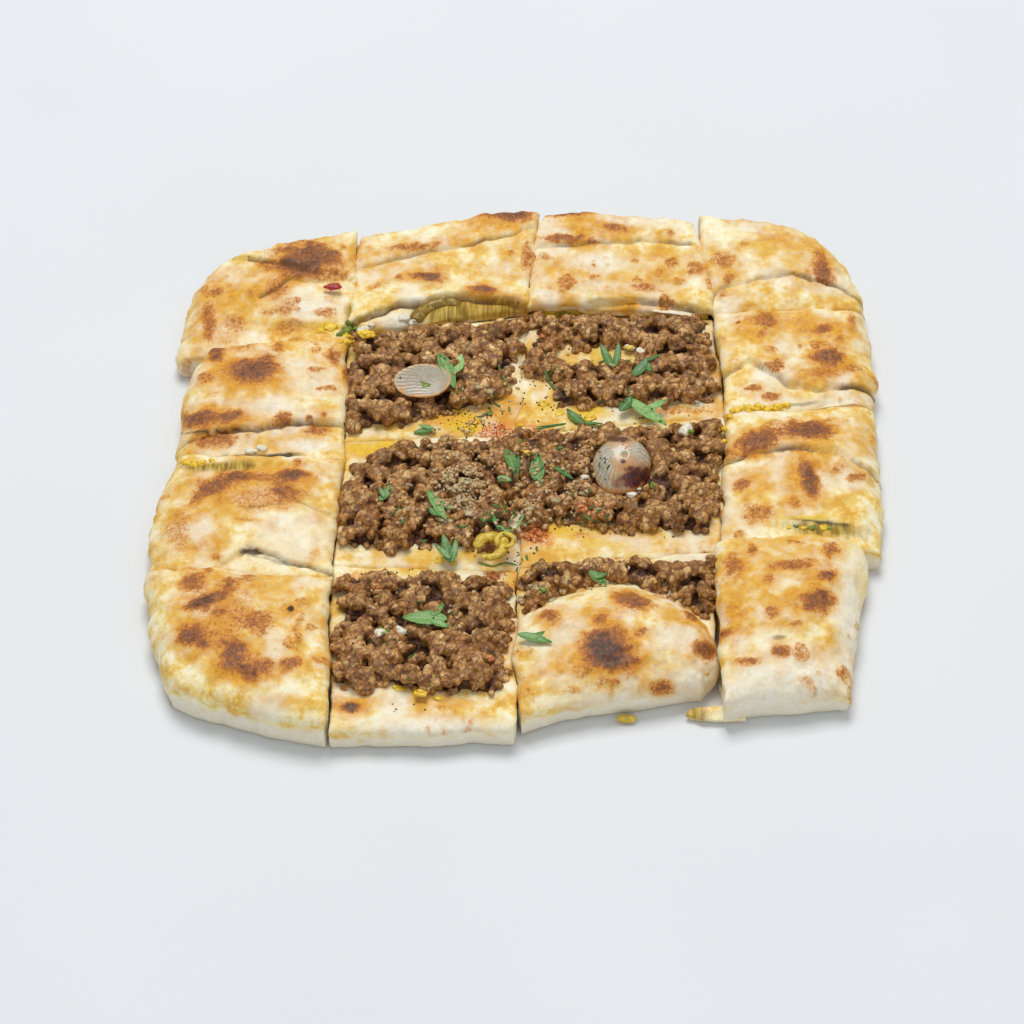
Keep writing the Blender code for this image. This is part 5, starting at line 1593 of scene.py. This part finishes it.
def onion_material():
    """Cooked onion: grey and glassy with ribs, golden at its rim and charred in spots."""
    material, tree, shader = start_material(
        "seared_onion", Roughness=0.28, Subsurface_Weight=0.3, Subsurface_Scale=0.002, Specular_IOR_Level=0.6
    )
    veins = noise_of(tree, 1.2, 4, 0.6)
    base = ramp_of(tree, veins, ((0.3, 176, 168, 146), (0.5, 206, 200, 180), (0.7, 236, 232, 216)))
    base = mix_of(tree, spread_of(tree, value_of(tree, "rib"), 0, 1, 0.6, 0), base, linear(140, 124, 96))
    base = tinted(tree, base, linear(136, 120, 98), "clear", 0, 1, 0.45)
    base = tinted(tree, base, linear(212, 160, 76), "rim", 0, 1, 0.6)
    base = tinted(tree, base, linear(206, 138, 48), "gold", 0.3, 1, 0.8)
    red = mix_of(tree, value_of(tree, "spice"), linear(96, 52, 30), linear(120, 30, 16))
    char = math_of(tree, "ADD", value_of(tree, "toast"), math_of(tree, "MULTIPLY_ADD", veins, 0.6, -0.3))
    base = tinted(tree, base, red, char, 0.12, 0.5)
    base = tinted(tree, base, linear(36, 18, 14), char, 0.5, 0.9)
    tree.links.new(base, shader.inputs["Base Color"])
    add_bump(tree, shader, veins, 0.15, 0.5)
    return material


# Mottled foods: the name, its colours from dark to light and, where it isn't 1.6 mm, the mottle's size.
# The last four are those of the sprinkled things, in the order of their table.
LOOKS = (
    ("egg", ((0.3, 216, 160, 16), (0.5, 238, 196, 40), (0.7, 250, 222, 96))),
    ("cooked_white", ((0.3, 214, 204, 176), (0.7, 246, 242, 226))),
    ("orange_pepper", ((0.3, 172, 84, 32), (0.5, 204, 122, 60), (0.7, 226, 164, 96))),
    ("tan_crumb", ((0.3, 132, 110, 76), (0.5, 176, 154, 112), (0.7, 206, 188, 148))),
    ("green_pepper", ((0.3, 70, 92, 22), (0.5, 112, 134, 40), (0.7, 160, 172, 70))),
    ("olive_lining", ((0.3, 92, 66, 12), (0.5, 140, 110, 30), (0.7, 190, 156, 70)), 2.2),
    ("yellow_pepper", ((0.3, 176, 140, 30), (0.5, 214, 182, 56), (0.7, 232, 206, 104)), 2.4),
    ("tomato", ((0.3, 132, 18, 22), (0.7, 190, 44, 44))),
    ("ground_pepper", ((0.3, 26, 20, 18), (0.7, 70, 54, 44))),
    ("tan_seed", ((0.3, 168, 132, 84), (0.7, 222, 196, 150))),
    ("herb_shred", ((0.3, 34, 72, 24), (0.7, 92, 138, 58))),
    ("red_spice", ((0.3, 178, 50, 16), (0.7, 220, 104, 36))),
)


def plain_material(name, stops, size=1.6):
    """One mottled colour of food, from dark to light."""
    material, tree, shader = start_material(
        name, Roughness=0.4, Subsurface_Weight=0.1, Subsurface_Scale=0.001
    )
    fine = noise_of(tree, size, 4, 0.6)
    tree.links.new(ramp_of(tree, fine, stops), shader.inputs["Base Color"])
    add_bump(tree, shader, fine, 0.25, 0.7)
    return material


class Surface:
    """All that has been made so far, for finding what a pixel of the photograph shows."""

    def __init__(self, pieces):
        graph = bpy.context.evaluated_depsgraph_get()
        self.trees = [BVHTree.FromObject(piece, graph) for piece in pieces]
        self.eye = Vector((*(BACKWARD * CAMERA_DISTANCE - (*PLAN_MIDDLE, 0)),)) * MM

    def under_pixel(self, x, y):
        """The plan point and the normal that a pixel shows, or None."""
        ray = Vector(ray_of(x, y)).normalized()
        nearest = None
        for tree in self.trees:
            place, normal, _index, distance = tree.ray_cast(self.eye, ray)
            if place is not None and (nearest is None or distance < nearest[2]):
                nearest = (place, normal, distance)
        if nearest is None:
            return None
        place = np.array(nearest[0]) / MM
        place[:2] += PLAN_MIDDLE
        return place, np.array(nearest[1])


def make_scraps(kind, surface, material):
    """Lumpy morsels of one kind, in threes, each sunk a little into what it lies on."""
    parts = []
    for number, (x, y, half_width, tall) in enumerate(SCRAPS[kind]):
        for share in (0.8, 0.6, 0.45):
            stray = 1.6 * half_width * (1 - share)
            aside, down = random.uniform(-2, 2) * stray, random.uniform(-1.5, 1.5) * stray
            found = surface.under_pixel(x + aside, y + down)
            if found is None:
                continue
            place, _normal = found
            depth = half_width * random.uniform(0.6, 0.9)
            radii = share * np.array((half_width, depth, tall * 0.8))
            parts.append(blob(place, radii, number + 10 * share, 2, 0.5))
    return make_mesh(kind + "_scraps", *joined(parts), material)


def turned(points, normal, angle):
    """Points of a small thing turned to lie on a surface with this normal."""
    up = Vector(normal)
    spin = up.to_track_quat("Z", "Y").to_matrix() @ Matrix.Rotation(angle, 3, "Z")
    return points @ np.array(spin).T


def make_sprinkles(kind, surface, material):
    """Fine things of one kind, lying on the surface."""
    low, high, stretch, subdivisions = SPRINKLE_SHAPES[kind]
    ball_points, ball_faces = ball_shape(subdivisions)
    parts = []
    for x, y, half_width, half_height, count in SPRINKLES[kind]:
        for _one in range(count):
            angle, away = random.uniform(0, 2 * math.pi), math.sqrt(random.random())
            aside, down = half_width * away * math.cos(angle), half_height * away * math.sin(angle)
            found = surface.under_pixel(x + aside, y + down)
            if found is None:
                continue
            place, normal = found
            size = random.uniform(low, high)
            wobble = 1 + 0.25 * smooth_noise(ball_points * 2 + place, 1, 7)
            shape = ball_points * wobble[:, None] * size * np.array(stretch)
            if kind == "shred":
                shape[:, 2] += 0.12 * shape[:, 0] ** 2
            shape = turned(shape, normal, random.uniform(0, 2 * math.pi))
            parts.append((place + normal * size * stretch[2] * 0.5 + shape, ball_faces))
    return make_mesh(kind, *joined(parts), material)


def make_morsel(name, node, material, seed, sunk=0.0):
    """A lumpy morsel that fills a node's box, or lies sunk millimetres lower."""
    middle, half, _base = plan_box(node)
    points, faces = blob((0, 0, 0), (1, 1, 1), seed, 4, 0.35)
    points /= np.abs(points).max(0)
    return make_mesh(name, middle + points * half - (0, 0, sunk), faces, material)


def leaf_material():
    """Parsley: dark green to a pale green for the leaflets that catch the light."""
    material, tree, shader = start_material(
        "parsley_leaf", Roughness=0.42, Subsurface_Weight=0.15, Subsurface_Scale=0.001
    )
    shader.inputs["Subsurface Radius"].default_value = (0.5, 1, 0.3)
    fine = noise_of(tree, 1.1, 3, 0.5)
    dark = ramp_of(tree, fine, ((0.3, 38, 84, 22), (0.7, 70, 122, 40)))
    light = ramp_of(tree, fine, ((0.3, 122, 170, 84), (0.7, 166, 206, 128)))
    base = mix_of(tree, value_of(tree, "light"), dark, light)
    base = tinted(tree, base, linear(176, 204, 128), "rib", 0.2, 1, 0.35)
    tree.links.new(base, shader.inputs["Base Color"])
    add_bump(tree, shader, fine, 0.15, 0.6)
    return material


# ---------------------------------------------------------------- stage
FAR = 20
FLOOR_HALF = 6
SKY_COLOUR = (0.95, 0.975, 1, 1)
SKY_STRENGTH = 0.45
LAMP_COLOUR = (1, 0.985, 0.96)
# Each lamp's name, place, side and power.
LAMPS = (("overhead", (-0.15, 0.9, 2.7), 1.4, 51.5), ("front_fill", (0.3, -1.4, 1.3), 1.2, 4))


def make_stage():
    """Pale floor, soft light and the photograph's camera."""
    target = Vector((-PLAN_MIDDLE[0], -PLAN_MIDDLE[1], 0)) * MM
    camera_data = bpy.data.cameras.new("camera")
    camera_data.sensor_width = SENSOR
    camera_data.lens = FOCAL_PIXELS / PICTURE * SENSOR
    camera_data.clip_end = FAR
    camera = bpy.data.objects.new("camera", camera_data)
    camera.location = target + Vector(BACKWARD) * CAMERA_DISTANCE * MM
    camera.rotation_euler = (math.pi / 2 - CAMERA_ELEVATION, 0, 0)
    bpy.context.scene.collection.objects.link(camera)
    bpy.context.scene.camera = camera

    floor_material, tree, shader = start_material("pale_floor", Roughness=0.7, Specular_IOR_Level=0.2)
    tone = ramp_of(tree, noise_of(tree, 120, 2, 0.4), ((0.3, 225, 229, 233), (0.7, 227, 231, 235)))
    tree.links.new(tone, shader.inputs["Base Color"])
    floor_grid = bmesh.new()
    bmesh.ops.create_grid(floor_grid, x_segments=8, y_segments=8, size=FLOOR_HALF)
    floor_mesh = bpy.data.meshes.new("floor")
    floor_grid.to_mesh(floor_mesh)
    floor_grid.free()
    floor_mesh.materials.append(floor_material)
    floor = bpy.data.objects.new("floor", floor_mesh)
    bpy.context.scene.collection.objects.link(floor)

    world = bpy.data.worlds.new("soft_studio")
    world.use_nodes = True
    background = world.node_tree.nodes["Background"]
    background.inputs["Color"].default_value = SKY_COLOUR
    background.inputs["Strength"].default_value = SKY_STRENGTH
    bpy.context.scene.world = world
    bpy.context.scene.view_settings.view_transform = "Standard"

    for name, place, size, power in LAMPS:
        light_data = bpy.data.lights.new(name, "AREA")
        light_data.shape = "SQUARE"
        light_data.size = size
        light_data.energy = power
        light_data.color = LAMP_COLOUR
        light = bpy.data.objects.new(name, light_data)
        light.location = place
        light.rotation_euler = (-Vector(place)).to_track_quat("-Z", "Y").to_euler()
        bpy.context.scene.collection.objects.link(light)


def main():
    """Makes the stage, the pieces and what lies on them, from the dough up."""
    random.seed(5)
    make_stage()
    pieces = []

    def add(piece, slot, *nodes):
        pieces.append(show(piece, slot, *nodes))

    dough = dough_material()
    filling = filling_material()
    for name in PIECES:
        add(make_dough(name, dough), "dough", "dough_" + BELONGS_TO.get(name, name))
    for name in FILLED:
        add(make_filling(name, filling), "filling", "filling_" + name)
    meat = meat_material()
    for number, name in enumerate(HEAPS):
        add(make_heap(name, number, meat), "meat", name)

    onion = onion_material()
    egg, white, orange, tan, green, olive, golden, tomato, *specks = [plain_material(*look) for look in LOOKS]
    add(make_onion_slice(onion), "onion", "onion_slice")
    add(make_onion_petal(onion), "onion", "onion_petal")
    add(make_morsel("grey_onion_bit", "onion_bit", white, 3), "onion", "onion_bit")
    add(make_morsel("egg_bit", "egg_bit", egg, 4), "egg", "egg_bit")
    add(make_morsel("egg_front", "egg_front", golden, 5), "egg", "egg_front")
    add(make_morsel("tomato_bit", "tomato_bit", tomato, 6, 1.3), "tomato", "tomato_bit")
    add(make_strands("pepper_curl", CURL, golden), "egg", "pepper_curl")
    parsley = leaf_material()
    surface = Surface(pieces)
    add(make_strands("rolled_lining", LINING, olive, surface), "filling")
    add(make_strands("under_layers", UNDERLAYERS, dough, surface), "dough")
    surface = Surface(pieces)
    for kind, material, slot in (
        ("egg", egg, "egg"),
        ("white", white, "onion"),
        ("orange", orange, "filling"),
        ("tan", tan, "filling"),
        ("green", green, "filling"),
    ):
        add(make_scraps(kind, surface, material), slot)
    for name in LEAFLETS:
        add(make_leaf(name, parsley, surface), "parsley", name)
    add(make_strands("stems", STEMS, parsley, surface), "parsley")
    surface = Surface(pieces)
    for kind, material in zip(SPRINKLES, specks):
        add(make_sprinkles(kind, surface, material), "parsley" if kind == "shred" else None)


main()
